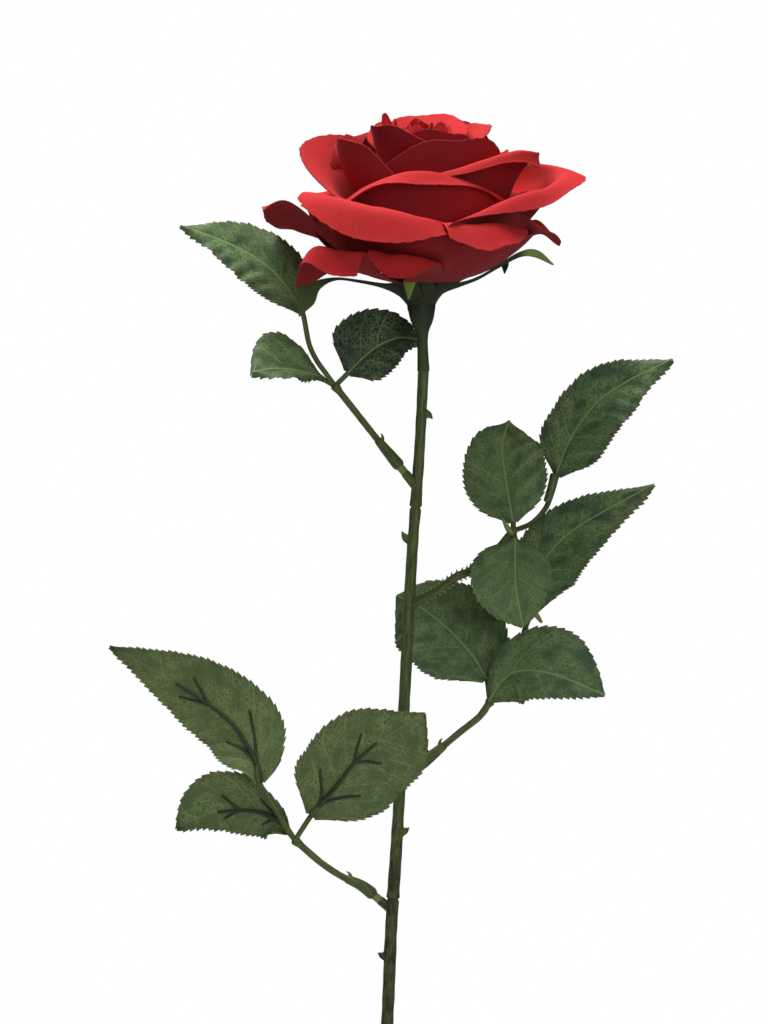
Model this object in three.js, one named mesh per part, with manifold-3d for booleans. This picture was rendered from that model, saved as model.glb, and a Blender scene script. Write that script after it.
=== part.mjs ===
// A single cut rose of cloth and moulded plastic, standing in a plain stoneware bud vase.
// Millimetres, +Z up. The origin is the middle of the vase's foot, and the rose faces -Y.

import * as THREE from "three";
import { mergeVertices } from "three/addons/utils/BufferGeometryUtils.js";
import Module from "manifold-3d";

const wasm = await Module();
wasm.setup();

// ---------- Driving dimensions ----------

const seatGap = 0.3; // clearance where two pieces meet
const sliver = 0.08; // details smaller than this are smoothed away where solids join

const vase = {
  outline: [[26, 0], [28, 4], [34, 24], [37, 50], [35, 76], [26, 103], [16, 128], [11.6, 150],
    [11.6, 172], [12.6, 190], [15, 200]], // radius and height, foot to lip
  wall: 4,
  floor: 6,
  floorRound: 4, // how far above the floor the inner wall begins
  steps: 13,
  sides: 24,
};

const stem = {
  route: [[-5.4, 0, 6.3], [-0.6, 0, 96], [5.1, 0, 200], [6.8, 0, 239], [8.9, 0, 272], [11.4, 0, 319],
    [13.7, 0, 363], [15.1, 0, 382], [16.5, 0, 403], [17.7, 0, 427.4]],
  footRadius: 2.4,
  topRadius: 1.8,
  steps: 16,
  sides: 8,
  rings: [248.3, 291.8, 339, 381.5], // heights of the moulded joints
  ringReach: 0.4, // how far a joint stands out
  ringHeight: 1.6,
  thorns: [ // height, and the side that it points to
    { height: 412.5, side: 1 },
    { height: 370.5, side: -1 },
    { height: 271.5, side: 1 },
    { height: 229.5, side: -1 },
  ],
  thornLength: 2.6,
  thornRadius: 1.3,
  thornLean: 80, // degrees from upright
  pegRadius: 1.6, // pegs that carry the leaf stalks
  pegLength: 5.6,
};

const calyx = {
  route: [[17.7, 0, 427.7], [17.3, 0, 440], [17, 0, 451]],
  radii: [2.1, 1.95, 1.85, 1.85, 2.35, 3.75, 4.5, 4.7], // sleeve to bulb, evenly spaced
  cup: [[0, -6], [4.3, -6], [4.9, -3.6], [6.2, -1], [7.6, 1.4], [8.9, 3.7], [9.5, 5.6], [8.9, 6], [8, 4.4],
    [6.6, 1.8], [5.6, -0.3], [0, -0.3]], // in the bloom's frame
  sepalThickness: 0.7,
  sepalTip: 0.3, // least half width
  sepalCup: 0.2, // how far its edges rise, as a share of the half width
};

const bloom = {
  base: [17, 0, 453.6], // where the petals gather
  tilt: 14, // degrees, towards -Y
  cloth: 0.6,
  core: [[0, 0.6], [4.6, 0.6], [8, 5.6], [12.5, 9], [16, 14], [17.5, 20], [16, 27], [12, 36], [7, 44],
    [3, 51], [0, 52]],
  coreSides: 9,
};

const leafCloth = 0.7;
const toothReach = 1.1;

const spray = {
  stalkRadius: 1.15,
  branchRadius: 0.85,
  ribRadius: 0.4, // where a branch ends under its leaf
  ribReach: [0, 0.2, 0.4, 0.6], // shares of the leaf's length that the rib runs through
  ribDrop: [1.1, 0.7, 0.7, 0.7], // how far the rib's middle lies under the blade there
  sleeveRadius: 1.75,
  sleeveTip: 1.4,
  sleeveReach: 0.16, // share of the stalk that the sleeve covers
  sideRibs: [{ from: 0.22, side: 0.5 }, { from: 0.38, side: -0.5 }],
  sideRibReach: 0.16,
  sideRibRadii: [0.5, 0.35],
};

// ---------- Curves and solids ----------

const vector = ([x, y, z]) => new THREE.Vector3(x, y, z);
const radians = THREE.MathUtils.degToRad;
const { lerp, smoothstep } = THREE.MathUtils;
const upward = new THREE.Vector3(0, 0, 1);

function curveThrough(points) {
  return new THREE.CatmullRomCurve3(points.map(vector), false, "catmullrom", 0.5);
}

// The value at t, from 0 to 1, of a smooth line through evenly spaced values.
function alongValues(values, t) {
  return curveThrough(values.map((value, i) => [i, value, 0])).getPoint(t).y;
}

function solidOf(geometry) {
  const bare = new THREE.BufferGeometry();
  bare.setAttribute("position", geometry.getAttribute("position"));
  bare.setIndex(geometry.index);
  const merged = mergeVertices(bare, 1e-4);
  return new wasm.Manifold(
    new wasm.Mesh({
      numProp: 3,
      vertProperties: merged.getAttribute("position").array,
      triVerts: new Uint32Array(merged.index.array),
    }),
  );
}

// Joins solids into one body. Pockets that the joining seals, and scraps, are left out.
function fused(solids) {
  const joined = solids.reduce((whole, piece) => whole.add(piece));
  const bodies = joined.simplify(sliver).decompose();
  return bodies.reduce((best, body) => (body.volume() > best.volume() ? body : best));
}

function geometryOf(solid) {
  const mesh = solid.getMesh();
  const places = new Float32Array(mesh.numVert * 3);
  for (let i = 0; i < mesh.numVert; i++) {
    const start = i * mesh.numProp;
    places.set(mesh.vertProperties.subarray(start, start + 3), i * 3);
  }
  const geometry = new THREE.BufferGeometry();
  geometry.setAttribute("position", new THREE.BufferAttribute(places, 3));
  geometry.setIndex(new THREE.BufferAttribute(mesh.triVerts, 1));
  return geometry;
}

// A solid turned about the Z axis, from a profile of radius and height that meets the axis.
function turned(profile, sides) {
  const outline = profile.map(([radius, height]) => new THREE.Vector2(radius, height));
  return new THREE.LatheGeometry(outline, sides).rotateX(Math.PI / 2);
}

// A closed rod along a curve, whose radius follows a function of the way along it.
function rod(curve, radiusAt, steps, sides) {
  const geometry = new THREE.CylinderGeometry(1, 1, 1, sides, steps);
  const frames = curve.computeFrenetFrames(steps, false);
  const places = geometry.getAttribute("position");
  const place = new THREE.Vector3();
  for (let i = 0; i < places.count; i++) {
    const share = places.getY(i) + 0.5;
    const step = Math.round(share * steps);
    const radius = radiusAt(share);
    place.copy(curve.getPointAt(step / steps));
    place.addScaledVector(frames.binormals[step], places.getX(i) * radius);
    place.addScaledVector(frames.normals[step], places.getZ(i) * radius);
    places.setXYZ(i, place.x, place.y, place.z);
  }
  return geometry;
}

// A closed blade from an open sheet, with the same triangles on both faces.
function blade(sheet, thickness) {
  sheet.computeVertexNormals();
  const middle = sheet.getAttribute("position");
  const normal = sheet.getAttribute("normal");
  const count = middle.count;
  const places = new THREE.BufferAttribute(new Float32Array(count * 6), 3);
  for (let i = 0; i < count; i++) {
    const at = new THREE.Vector3().fromBufferAttribute(middle, i);
    const out = new THREE.Vector3().fromBufferAttribute(normal, i).multiplyScalar(thickness / 2);
    places.setXYZ(i, at.x + out.x, at.y + out.y, at.z + out.z);
    places.setXYZ(i + count, at.x - out.x, at.y - out.y, at.z - out.z);
  }
  const faces = sheet.index.array;
  const triangles = [];
  const border = new Map();
  for (let i = 0; i < faces.length; i += 3) {
    const [a, b, c] = faces.slice(i, i + 3);
    triangles.push(a, b, c, a + count, c + count, b + count);
    for (const [from, to] of [[a, b], [b, c], [c, a]]) {
      if (!border.delete(to + " " + from)) {
        border.set(from + " " + to, [from, to]);
      }
    }
  }
  for (const [from, to] of border.values()) {
    triangles.push(to, from, from + count, to, from + count, to + count);
  }
  const geometry = new THREE.BufferGeometry();
  geometry.setAttribute("position", places);
  geometry.setIndex(triangles);
  return geometry;
}

// ---------- Petals ----------
// A petal's spine is its radius and height in the bloom's frame, from root to rim. half is half its
// width, wrap how closely it follows the bloom's round at the root and at the rim, round how far the
// rim's corners fall back, and at its direction in degrees. out and lift push the rim out and up, at
// five places across it. drop moves only what lies beyond the fold, a share of the spine, and point draws
// out a tip: its place across and its length. tuck slides one side over its neighbour and the other
// under, spread scales the radius, rise lifts the whole petal, and wave ripples the rim. fine petals,
// which show most, take more facets.

const petalKinds = {
  guard: { spine: [[9, 7], [22, 9], [38, 14], [47, 19], [52, 12]], half: 21, wrap: [0.9, 0.5] },
  outer: { spine: [[11, 9], [24, 12], [36, 21], [40, 31], [48, 30]], half: 26, wrap: [0.9, 0.7] },
  middle: { spine: [[11, 10], [20, 15], [27, 27], [29, 40], [34, 47]], half: 24, wrap: [0.9, 0.8] },
  inner: { spine: [[10, 17], [16, 23], [20, 34], [21, 46], [22, 56]], half: 17, wrap: [1, 0.9] },
  heart: { spine: [[5, 28], [9, 36], [10, 45], [9, 53], [7.5, 58]], half: 11, wrap: [1, 1.1] },
};

const petals = [
  // guard petals, low and spread
  { kind: "guard", at: -127, spine: [[9, 7], [18, 7], [33, 13], [41, 21], [46, 14]], fold: 0.75,
    tuck: 1, lift: [-15, -1, 0, 0, 1], out: [0, 5, 3, 0, -4], drop: [0, 2, 0, -1, 2], fine: true },
  { kind: "guard", at: -99, spine: [[9, 7], [20, 10], [32, 15], [40, 20], [46, 13]], half: 12,
    fold: 0.75, tuck: 1, lift: [0, 0, 0, 0, -2], drop: [0, 1, 0, 2, 3], fine: true },
  { kind: "guard", at: -48, spine: [[9, 7.5], [15, 6.5], [25, 11], [34, 17.5], [38, 22]], half: 24,
    tuck: 0.5, lift: [0, 0, 0, 1.5, 4] },
  { kind: "guard", at: -10, spine: [[9, 8], [20, 11.5], [32, 17], [40, 21], [46, 21]], half: 19,
    fold: 0.7, round: 0.12, tuck: 0.5, lift: [10, 5, 0, 1, 3], drop: [-5, -1, 0, -2, -4],
    point: [0, 1] },
  { kind: "guard", at: 62, spread: 0.85, tuck: 1 },
  { kind: "guard", at: 112, spread: 0.85, tuck: 1 },
  // outer petals, rims rolled out
  { kind: "outer", at: -112, spine: [[11, 9], [24, 12.5], [36, 21], [39, 33], [43, 33], [48, 25]],
    half: 30, fold: 0.8, lift: [2, 3.5, 1.5, 0, -5], out: [3, 1, 0, 0, -2],
    drop: [0.5, 0, -1.2, 0.5, 5], fine: true },
  { kind: "outer", at: -62, spine: [[11, 10], [25, 15.5], [38, 23], [45, 29], [48, 30.5], [54, 24.5]],
    half: 14, fold: 0.8, round: 0.1, lift: [-1, -0.5, 0, 0, -1], out: [-1, 0, 0, 0, 0],
    drop: [-2, -2, -1.5, 0.5, 2], fine: true },
  { kind: "outer", at: -19, spine: [[10, 10], [23, 16], [35, 25], [43, 33], [46, 38], [51, 37]],
    half: 45, wrap: [0.9, 0.95], fold: 0.8, lift: [-8, 0, 2.5, 5.5, 4], out: [-2, 0, 0, -3, -10],
    drop: [-2, -4, -1, -1, 0], point: [0.28, 6], fine: true },
  { kind: "outer", at: 52, spread: 0.86 },
  { kind: "outer", at: 98 },
  { kind: "outer", at: 146, spread: 0.9 },
  { kind: "outer", at: 172, spine: [[11, 9], [24, 14], [36, 21], [46, 26.5], [53, 28.5]], half: 21,
    fold: 0.7, round: 0.08, lift: [-4, -3, -2, 4, 9.5], out: [0, 0, 0, 1, 3], drop: [0, 0, 0, -1, -6],
    fine: true },
  // middle petals, cupped
  { kind: "middle", at: -90, spine: [[11, 10], [21, 15], [28, 28], [28, 42], [29, 46.5], [33, 44]],
    half: 34, wrap: [0.8, 0.5], fold: 0.8, lift: [-18, -6, 0, -4, -14], drop: [0, 1.5, -1, 1, 2],
    fine: true },
  { kind: "middle", at: -28, spine: [[11, 10], [19, 15], [25, 27], [29, 40], [34, 47], [37, 46.5]],
    half: 31, fold: 0.8, lift: [-7, -1, 4, 3, 0], out: [-15, -6, 1, 4, 3], drop: [0, -1, -2.7, -5, -5],
    tuck: 3, fine: true },
  { kind: "middle", at: 36, rise: -2 },
  { kind: "middle", at: 88, lift: [4, 4, 4, 4, 4] },
  { kind: "middle", at: 130, half: 19, lift: [4, 4, 4, 4, 4] },
  { kind: "middle", at: 184, spine: [[11, 10], [20, 15], [28, 26], [34, 38], [41, 47]], half: 34,
    lift: [9, 5, 0, -5, -10], out: [0, 0, 0, -3, -3] },
  // inner petals, upright
  { kind: "inner", at: -138, spine: [[10, 17], [17, 23], [23, 33], [26, 42], [27, 51]], half: 20,
    lift: [3, 5, 3, -2, -8], out: [4, 4, 1, -1, -4] },
  { kind: "inner", at: -66, spine: [[10, 17], [17, 23], [22, 33], [23, 45], [24, 56]], half: 27,
    wrap: [0.9, 0.7], lift: [-6, -1, -0.5, 1, -2], fine: true },
  { kind: "inner", at: 0, spine: [[10, 17], [17, 23], [23, 33], [26, 43], [29, 50]],
    lift: [-4, -3, -2, -1, 1] },
  { kind: "inner", at: 52, half: 30, spread: 1.08, lift: [-4, -2, 0, 2, 2] },
  { kind: "inner", at: 112, half: 20, lift: [2, 1, 0, -1, -2] },
  { kind: "inner", at: 160, spine: [[10, 17], [15, 24], [20, 34], [24, 44], [29, 53]], half: 15,
    lift: [-1, -1, -1, -1, -2] },
  // the heart, drawn together
  { kind: "heart", at: -132, spine: [[5, 28], [9, 36], [10, 45], [11, 52], [12, 58]], spread: 1.6,
    half: 16, lift: [0, 1, 0, -2, -3], rise: 1 },
  { kind: "heart", at: -66, spine: [[5, 28], [9, 36], [10, 45], [11, 52], [11, 58]], spread: 1.5,
    half: 16, lift: [0, 0, 0, 0, -2], rise: -1 },
  { kind: "heart", at: 15, spine: [[5, 28], [9, 36], [10, 44], [12, 50], [16, 55]], spread: 1.5,
    half: 16, lift: [-2, 0, 0, 1, 1] },
  { kind: "heart", at: 78, spine: [[5, 28], [8, 36], [9, 45], [11, 52], [16, 58]], spread: 1.4,
    half: 19 },
  { kind: "heart", at: 140, spine: [[5, 28], [8, 36], [9, 45], [11, 52], [15, 57]], spread: 1.3,
    half: 15, lift: [0, 0, -1, -2, -3] },
];

const level = [0, 0, 0, 0, 0];
const petalDefaults = { round: 0.2, fold: 1, out: level, lift: level, drop: level, point: [0, 0], tuck: 2,
  spread: 1, rise: 0, wave: 0.6 };
const petalRoot = 0.22; // half width at the root, as a share of the full one
const fullFrom = 0.65; // share of the spine where the petal is at full width
const rimFrom = 0.35; // share of the spine where out and lift begin
const pointFrom = 0.6; // share of the spine where a drawn-out tip begins
const pointWidth = 0.25; // its reach to either side, as a share of the half width
const cornerPower = 2.5; // how square the rim's corners are
const leastRadius = 8; // the tightest round that a petal wraps
const fineFacets = [6, 5]; // across and up
const plainFacets = [4, 3];
const heartFacets = [3, 3];

// The place on a petal, with across from -1 to 1 and up from 0 at the root to 1 at the rim.
function petalPoint(petal, across, up) {
  const v = up * (1 - petal.round * Math.abs(across) ** cornerPower);
  const middle = petal.curve.getPoint(v);
  const rise = petal.curve.getTangent(v);
  const under = petal.tuck * across;
  const radius = middle.x * petal.spread;
  const widening = Math.sin((Math.PI / 2) * Math.min(1, v / fullFrom));
  const half = petal.half * lerp(petalRoot, 1, widening);
  const bend = lerp(petal.wrap[0], petal.wrap[1], v * v) / Math.max(radius, leastRadius);
  const turn = bend * across * half;
  const share = (across + 1) / 2;
  const rim = smoothstep(v, rimFrom, petal.fold);
  const lip = petal.fold < 1 ? smoothstep(v, petal.fold, 1) : 0;
  const [tipAt, tipReach] = petal.point;
  const tip = tipReach * smoothstep(v, pointFrom, 1) * Math.exp(-(((across - tipAt) / pointWidth) ** 2));
  const ripple = petal.wave * v ** 3 * Math.sin(2 * Math.PI * across + petal.at);
  const out = radius - (1 - Math.cos(turn)) / bend + under * rise.z
    + tip + rim * alongValues(petal.out, share);
  const side = Math.sin(turn) / bend;
  const height = middle.z + petal.rise - under * rise.x
    + rim * alongValues(petal.lift, share) + lip * alongValues(petal.drop, share) + ripple;
  return new THREE.Vector3(out, side, height).applyAxisAngle(upward, radians(petal.at));
}

function petalSheet(petal, columns, rows) {
  const sheet = new THREE.PlaneGeometry(2, 1, columns, rows);
  const places = sheet.getAttribute("position");
  for (let i = 0; i < places.count; i++) {
    const place = petalPoint(petal, places.getX(i), places.getY(i) + 0.5);
    places.setXYZ(i, place.x, place.y, place.z);
  }
  return sheet;
}

function inBloomFrame(geometry) {
  return geometry.rotateX(radians(bloom.tilt)).translate(...bloom.base);
}

function wholePetal(petal) {
  const whole = { ...petalDefaults, ...petalKinds[petal.kind], ...petal };
  whole.curve = curveThrough(whole.spine.map(([radius, height]) => [radius, 0, height]));
  return whole;
}

function makeBloom() {
  const core = turned(bloom.core, bloom.coreSides);
  const sheets = petals.map((petal) => {
    const [columns, rows] = petal.fine ? fineFacets : petal.kind === "heart" ? heartFacets : plainFacets;
    return blade(petalSheet(wholePetal(petal), columns, rows), bloom.cloth);
  });
  return fused([core, ...sheets].map((geometry) => solidOf(inBloomFrame(geometry))));
}

// ---------- Leaves ----------
// rib is the middle line, base to tip. face is the way that the upper side looks. left and right are
// the half widths, seen from that side with the tip up. fold lifts both halves off the rib, in degrees.

// Shares of the half width, evenly spaced from base to tip.
const leafShapes = {
  long: [0.1, 0.72, 0.98, 1, 0.8, 0.4, 0.03],
  blunt: [0.1, 0.74, 0.98, 1, 0.88, 0.58, 0.03],
  early: [0.12, 0.88, 1, 0.93, 0.7, 0.36, 0.03],
  late: [0.08, 0.34, 0.76, 1, 0.97, 0.62, 0.03],
  full: [0.12, 0.88, 1, 1, 0.84, 0.42, 0.03],
  broad: [0.1, 0.74, 0.98, 1, 0.98, 0.8, 0.03],
};

const leafCurl = 1.5; // how far a blade's edges bend back

const leaves = {
  a1: { rib: [[-16, 3.4, 425.3], [-24.3, 0, 427.4], [-32.6, -4, 428], [-40.3, -8, 426.8]],
    face: [0, -0.67, 0.74], left: 8, right: 15, fold: 22, shape: "late", teeth: 9 },
  a2: { rib: [[-8, 5, 427], [0.2, 8, 434.9], [9.1, 11, 439.2], [18.4, 15, 438.4]],
    face: [0.2, -0.9, 0.3], left: 14, right: 10, fold: 14, shape: "early", teeth: 9 },
  a3: {
    rib: [[-23.3, 4, 447.9], [-31.5, 7, 459.5], [-39.6, 7, 466.3], [-50.1, 5, 471.6], [-64.8, 1, 477]],
    face: [0, -0.8, 0.6], left: 11, right: 12, fold: 12, shape: "long", teeth: 12 },
  b1: { rib: [[48.1, -2, 376.2], [45.6, 4, 392.1], [44.8, 8, 402.4], [47.2, 12, 411]],
    face: [-0.1, -0.95, 0.3], left: 14, right: 13, fold: 10, shape: "blunt", teeth: 9 },
  b2: { rib: [[63, 5, 391.8], [67.3, 2, 403.3], [75.6, -1, 415.5], [86, -3, 423.3], [101.7, -6, 431.3]],
    face: [-0.2, -0.9, 0.3], left: 11, right: 13, fold: 14, shape: "full", teeth: 12 },
  b3: { rib: [[48.7, -6, 370.6], [48.5, -10, 361.6], [48.7, -13, 353.3], [51, -15, 340.9]],
    face: [0, -0.9, 0.4], left: 12, right: 15, fold: 12, shape: "blunt", teeth: 9 },
  c1: {
    rib: [[39.4, 2, 322.6], [34.3, 5, 330.7], [26.6, 9, 339.1], [16.6, 12, 346.9], [6.3, 15, 351.6]],
    face: [0.1, -0.95, 0.2], left: 17, right: 17, fold: 8, shape: "blunt", leftShape: "broad",
    teeth: 10 },
  c2: {
    rib: [[39.9, -2, 315.3], [44.6, -5, 322.6], [50.2, -8, 325.8], [61.2, -11, 324.9], [78.7, -12, 317.9]],
    face: [0, -0.9, 0.3], left: 15.5, right: 11, fold: 12, shape: "early", leftShape: "late",
    teeth: 10 },
  c3: { rib: [[54.4, 4, 345.1], [57.8, 7, 360.4], [69.2, 6, 373.4], [96.1, 1, 389]],
    face: [-0.1, -0.9, 0.3], left: 11, right: 13, fold: 10, shape: "early", teeth: 12 },
  d1: {
    rib: [[-27.6, -4, 271], [-33.7, -1, 276.6], [-46.5, 3, 277.9], [-56.9, 6, 276], [-66.6, 9, 271.3]],
    face: [0, 0.95, 0.3], left: 14, right: 9, fold: 8, shape: "early", leftShape: "late",
    teeth: 10 },
  d2: { rib: [[-20.3, -10, 277.3], [-9.5, -15, 290.2], [-1.4, -18, 299.8], [18, -22, 312.4]],
    face: [0, 0.95, 0.2], left: 18.5, right: 15.5, fold: 8, shape: "full", leftShape: "broad",
    teeth: 11 },
  d3: {
    rib: [[-37.5, -9, 288.1], [-39.2, -9, 296.5], [-46.4, -7, 307.5], [-61.1, -4, 318.5], [-88.6, 1, 333.9]],
    face: [0, 0.95, 0.3], left: 15, right: 12, fold: 8, shape: "early", teeth: 13 },
};

// The half width on the side that across lies on.
function halfWidth(leaf, along, across) {
  const shape = across < 0 && leaf.leftShape ? leaf.leftShape : leaf.shape;
  return (across < 0 ? leaf.left : leaf.right) * alongValues(leafShapes[shape], along);
}

// The place on a leaf at a share of its length and a signed share of its half width, moved off it.
function leafPoint(leaf, along, across, off = 0) {
  const curve = curveThrough(leaf.rib);
  const tangent = curve.getTangentAt(along);
  const face = vector(leaf.face);
  face.addScaledVector(tangent, -face.dot(tangent)).normalize();
  const side = new THREE.Vector3().crossVectors(tangent, face);
  const half = halfWidth(leaf, along, across);
  const fold = radians(leaf.fold);
  const width = across * half;
  const lift = Math.abs(width) * Math.sin(fold) - leafCurl * across ** 2 + off;
  return curve.getPointAt(along).addScaledVector(side, width * Math.cos(fold)).addScaledVector(face, lift);
}

function leafSheet(leaf) {
  const columns = [-1, -0.5, 0, 0.5, 1];
  const places = [];
  const triangles = [];
  const put = (place) => places.push(place) - 1;
  const rows = [];
  for (let row = 0; row < leaf.teeth; row++) {
    rows.push(columns.map((across) => put(leafPoint(leaf, row / leaf.teeth, across))));
  }
  for (let row = 1; row < leaf.teeth; row++) {
    const near = rows[row - 1];
    const far = rows[row];
    for (let i = 0; i + 1 < columns.length; i++) {
      triangles.push(near[i], near[i + 1], far[i + 1], near[i], far[i + 1], far[i]);
    }
    // each tooth points forward, beyond the even outline
    const along = (row - 0.15) / leaf.teeth;
    for (const [edge, across] of [[0, -1], [columns.length - 1, 1]]) {
      const half = halfWidth(leaf, along, across);
      const point = put(leafPoint(leaf, along, across * (1 + toothReach / Math.max(half, 3))));
      triangles.push(...(across < 0 ? [near[edge], far[edge], point] : [near[edge], point, far[edge]]));
    }
  }
  const last = rows[leaf.teeth - 1];
  const tip = put(leafPoint(leaf, 1, 0));
  for (let i = 0; i + 1 < columns.length; i++) {
    triangles.push(last[i], last[i + 1], tip);
  }
  const sheet = new THREE.BufferGeometry().setFromPoints(places);
  sheet.setIndex(triangles);
  return sheet;
}

// ---------- Leaf stalks ----------
// Each spray is one moulding: a sleeve on the stem's peg, a stalk to the node, and a branch to each
// leaf that runs on as a raised rib with side ribs under it.

const sprays = {
  a: {
    stalk: [[11.6, 0.3, 392.6], [8.4, 1, 396.5], [1.9, 2, 404.4], [-5.6, 3, 413.9], [-12.4, 4, 422.5]],
    branches: { a1: [], a2: [], a3: [[-15.6, 1.5, 426.8], [-18.8, 0, 431.4], [-21.3, 1, 437.1]] },
  },
  b: {
    stalk: [[16.8, -1.5, 349.7], [22.6, -5, 353.1], [28.7, -6, 357.5], [34.1, -6, 359.9], [41.9, -5, 366],
      [48.1, -3, 373.1]],
    branches: { b1: [], b2: [[54.6, 5, 375.6], [59.4, 9.5, 380.4], [61.6, 8.5, 385.6]], b3: [] },
  },
  c: {
    stalk: [[13.8, 0, 292], [18.2, 0, 294.8], [29.8, 1, 304.3], [37, 1, 310.1], [40.3, 0, 314.9]],
    branches: { c1: [], c2: [], c3: [[45.6, 5, 323.5], [51.1, 6, 330.6], [52.1, 5, 338.6]] },
  },
  d: {
    stalk: [[2.9, -0.4, 247.6], [-3.2, -2, 252.6], [-10.3, -4, 256.2], [-17.7, -5, 261.3],
      [-25.8, -6, 268.5]],
    branches: { d1: [], d2: [], d3: [[-30.5, -8, 276.2], [-34.8, -9, 283.3]] },
  },
};
const rodCorner = 0.3; // how much nearer than its round a faceted rod can come
const underLeaf = -(leafCloth / 2 + seatGap + rodCorner);

function makeSpray(route) {
  const stalk = curveThrough(route.stalk);
  const pieces = [rod(stalk, () => spray.stalkRadius, 6, 6)];
  const covered = [0, spray.sleeveReach / 2, spray.sleeveReach].map((t) => stalk.getPointAt(t).toArray());
  pieces.push(rod(curveThrough(covered), (t) => lerp(spray.sleeveRadius, spray.sleeveTip, t), 2, 7));
  const node = route.stalk.at(-1);
  for (const [name, path] of Object.entries(route.branches)) {
    const leaf = leaves[name];
    const under = (along, across, drop) => leafPoint(leaf, along, across, underLeaf - drop).toArray();
    const rib = spray.ribReach.map((along, i) => under(along, 0, spray.ribDrop[i]));
    const branch = curveThrough([node, ...path, ...rib]);
    const branchAt = (t) => lerp(spray.branchRadius, spray.ribRadius, smoothstep(t, 0.3, 1));
    pieces.push(rod(branch, branchAt, 8, 4));
    const [thick, thin] = spray.sideRibRadii;
    for (const { from, side } of spray.sideRibs) {
      const ends = [under(from, 0, thick), under(from + spray.sideRibReach, side, thick)];
      pieces.push(rod(curveThrough(ends), (t) => lerp(thick, thin, t), 1, 4));
    }
  }
  return fused(pieces.map(solidOf));
}

// ---------- Stem and calyx ----------

function stemRadius(share) {
  return lerp(stem.footRadius, stem.topRadius, share);
}

// The place on the stem at a height, found by stepping closer to it.
function stemAt(curve, height) {
  const bottom = stem.route[0][2];
  const top = stem.route.at(-1)[2];
  let share = (height - bottom) / (top - bottom);
  for (let step = 0; step < 6; step++) {
    share += (height - curve.getPointAt(share).z) / (top - bottom);
  }
  return { place: curve.getPointAt(share).toArray(), radius: stemRadius(share) };
}

function makeStem() {
  const curve = curveThrough(stem.route);
  const pieces = [rod(curve, stemRadius, stem.steps, stem.sides)];
  const edge = stem.ringHeight / 2;
  for (const height of stem.rings) {
    const { place, radius } = stemAt(curve, height);
    const profile = [[0, -edge], [radius, -edge], [radius + stem.ringReach, 0], [radius, edge], [0, edge]];
    pieces.push(turned(profile, stem.sides).translate(...place));
  }
  for (const thorn of stem.thorns) {
    const { place, radius } = stemAt(curve, thorn.height);
    const reach = radius + stem.thornLength;
    const spike = new THREE.ConeGeometry(stem.thornRadius, reach, 6).translate(0, reach / 2, 0);
    spike.rotateZ(-thorn.side * radians(stem.thornLean)).rotateX(Math.PI / 2);
    pieces.push(spike.translate(...place));
  }
  for (const route of Object.values(sprays)) {
    const start = vector(route.stalk[0]);
    const way = curveThrough(route.stalk).getTangent(0);
    const end = start.clone().addScaledVector(way, -seatGap);
    const root = start.clone().addScaledVector(way, -stem.pegLength);
    pieces.push(rod(new THREE.LineCurve3(root, end), () => stem.pegRadius, 1, 7));
  }
  return fused(pieces.map(solidOf));
}

// A sepal's route is its middle line, widths its half width along it, and faces the ways that its upper
// side looks at the root and at the tip.
const sepals = [
  {
    route: [[15.5, -3, 450.2], [14.2, -8.4, 452], [13.3, -12.5, 453.6], [13, -13.9, 455],
      [12.9, -14.8, 454.6], [12.6, -15, 450.6]],
    widths: [2.5, 3, 2.6, 2.2, 2.1, 0.15],
    faces: [[0, 0.5, 0.9], [0, 1, 0.1]],
  },
  {
    route: [[19.5, -2.5, 450.5], [23.3, -8, 454.8], [30, -9, 456.3], [36, -9.5, 458.4], [42.7, -10, 462.2],
      [50, -10.5, 466.2], [55.5, -10.5, 466.4], [61.4, -11, 462.8]],
    widths: [2.5, 2.8, 1, 0.5, 0.5, 1, 1.9, 0.15],
    faces: [[-0.2, 0.9, 0.5], [0.3, 0.9, 0.8]],
  },
  {
    route: [[19, 1.5, 450.5], [25, 3.5, 455.5], [33, 3.8, 459.8], [39, 3, 462.6], [43, 2.5, 465.2],
      [45.3, 1.6, 464.2], [45.4, 1.2, 460.6]],
    widths: [2.5, 2.5, 1, 0.8, 1, 1.5, 0.15],
    faces: [[-0.2, 0.1, 1], [0.3, 0.9, 0.2]],
  },
  {
    route: [[15.5, 2.5, 450.5], [13.5, 9, 454.8], [10, 16, 460], [5, 25, 466], [2, 32, 468.5]],
    widths: [2.5, 2.5, 1, 0.8, 0.15],
    faces: [[0, 0.2, 1], [0, 0.2, 1]],
  },
  {
    route: [[14.5, -2, 450.3], [10.5, -7, 454.3], [4, -8, 455.9], [-4, -8.3, 457.4], [-12, -8.8, 458.2],
      [-18.4, -9.4, 455.8], [-22, -9.8, 451], [-24.2, -9.8, 445.4]],
    widths: [2.5, 2.6, 0.9, 0.5, 0.5, 1.6, 3, 0.15],
    faces: [[0.2, 0.9, 0.5], [0.5, 1, 0.3]],
  },
];

function sepalPoint(sepal, across, up) {
  const curve = curveThrough(sepal.route);
  const way = curve.getTangent(up);
  const [first, last] = sepal.faces.map(vector);
  const upper = first.lerp(last, smoothstep(up, 0.5, 0.8));
  const side = new THREE.Vector3().crossVectors(way, upper).normalize();
  const inward = new THREE.Vector3().crossVectors(side, way);
  const half = Math.max(calyx.sepalTip, alongValues(sepal.widths, up));
  const place = curve.getPoint(up).addScaledVector(side, across * half);
  return place.addScaledVector(inward, calyx.sepalCup * half * across ** 2);
}

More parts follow.
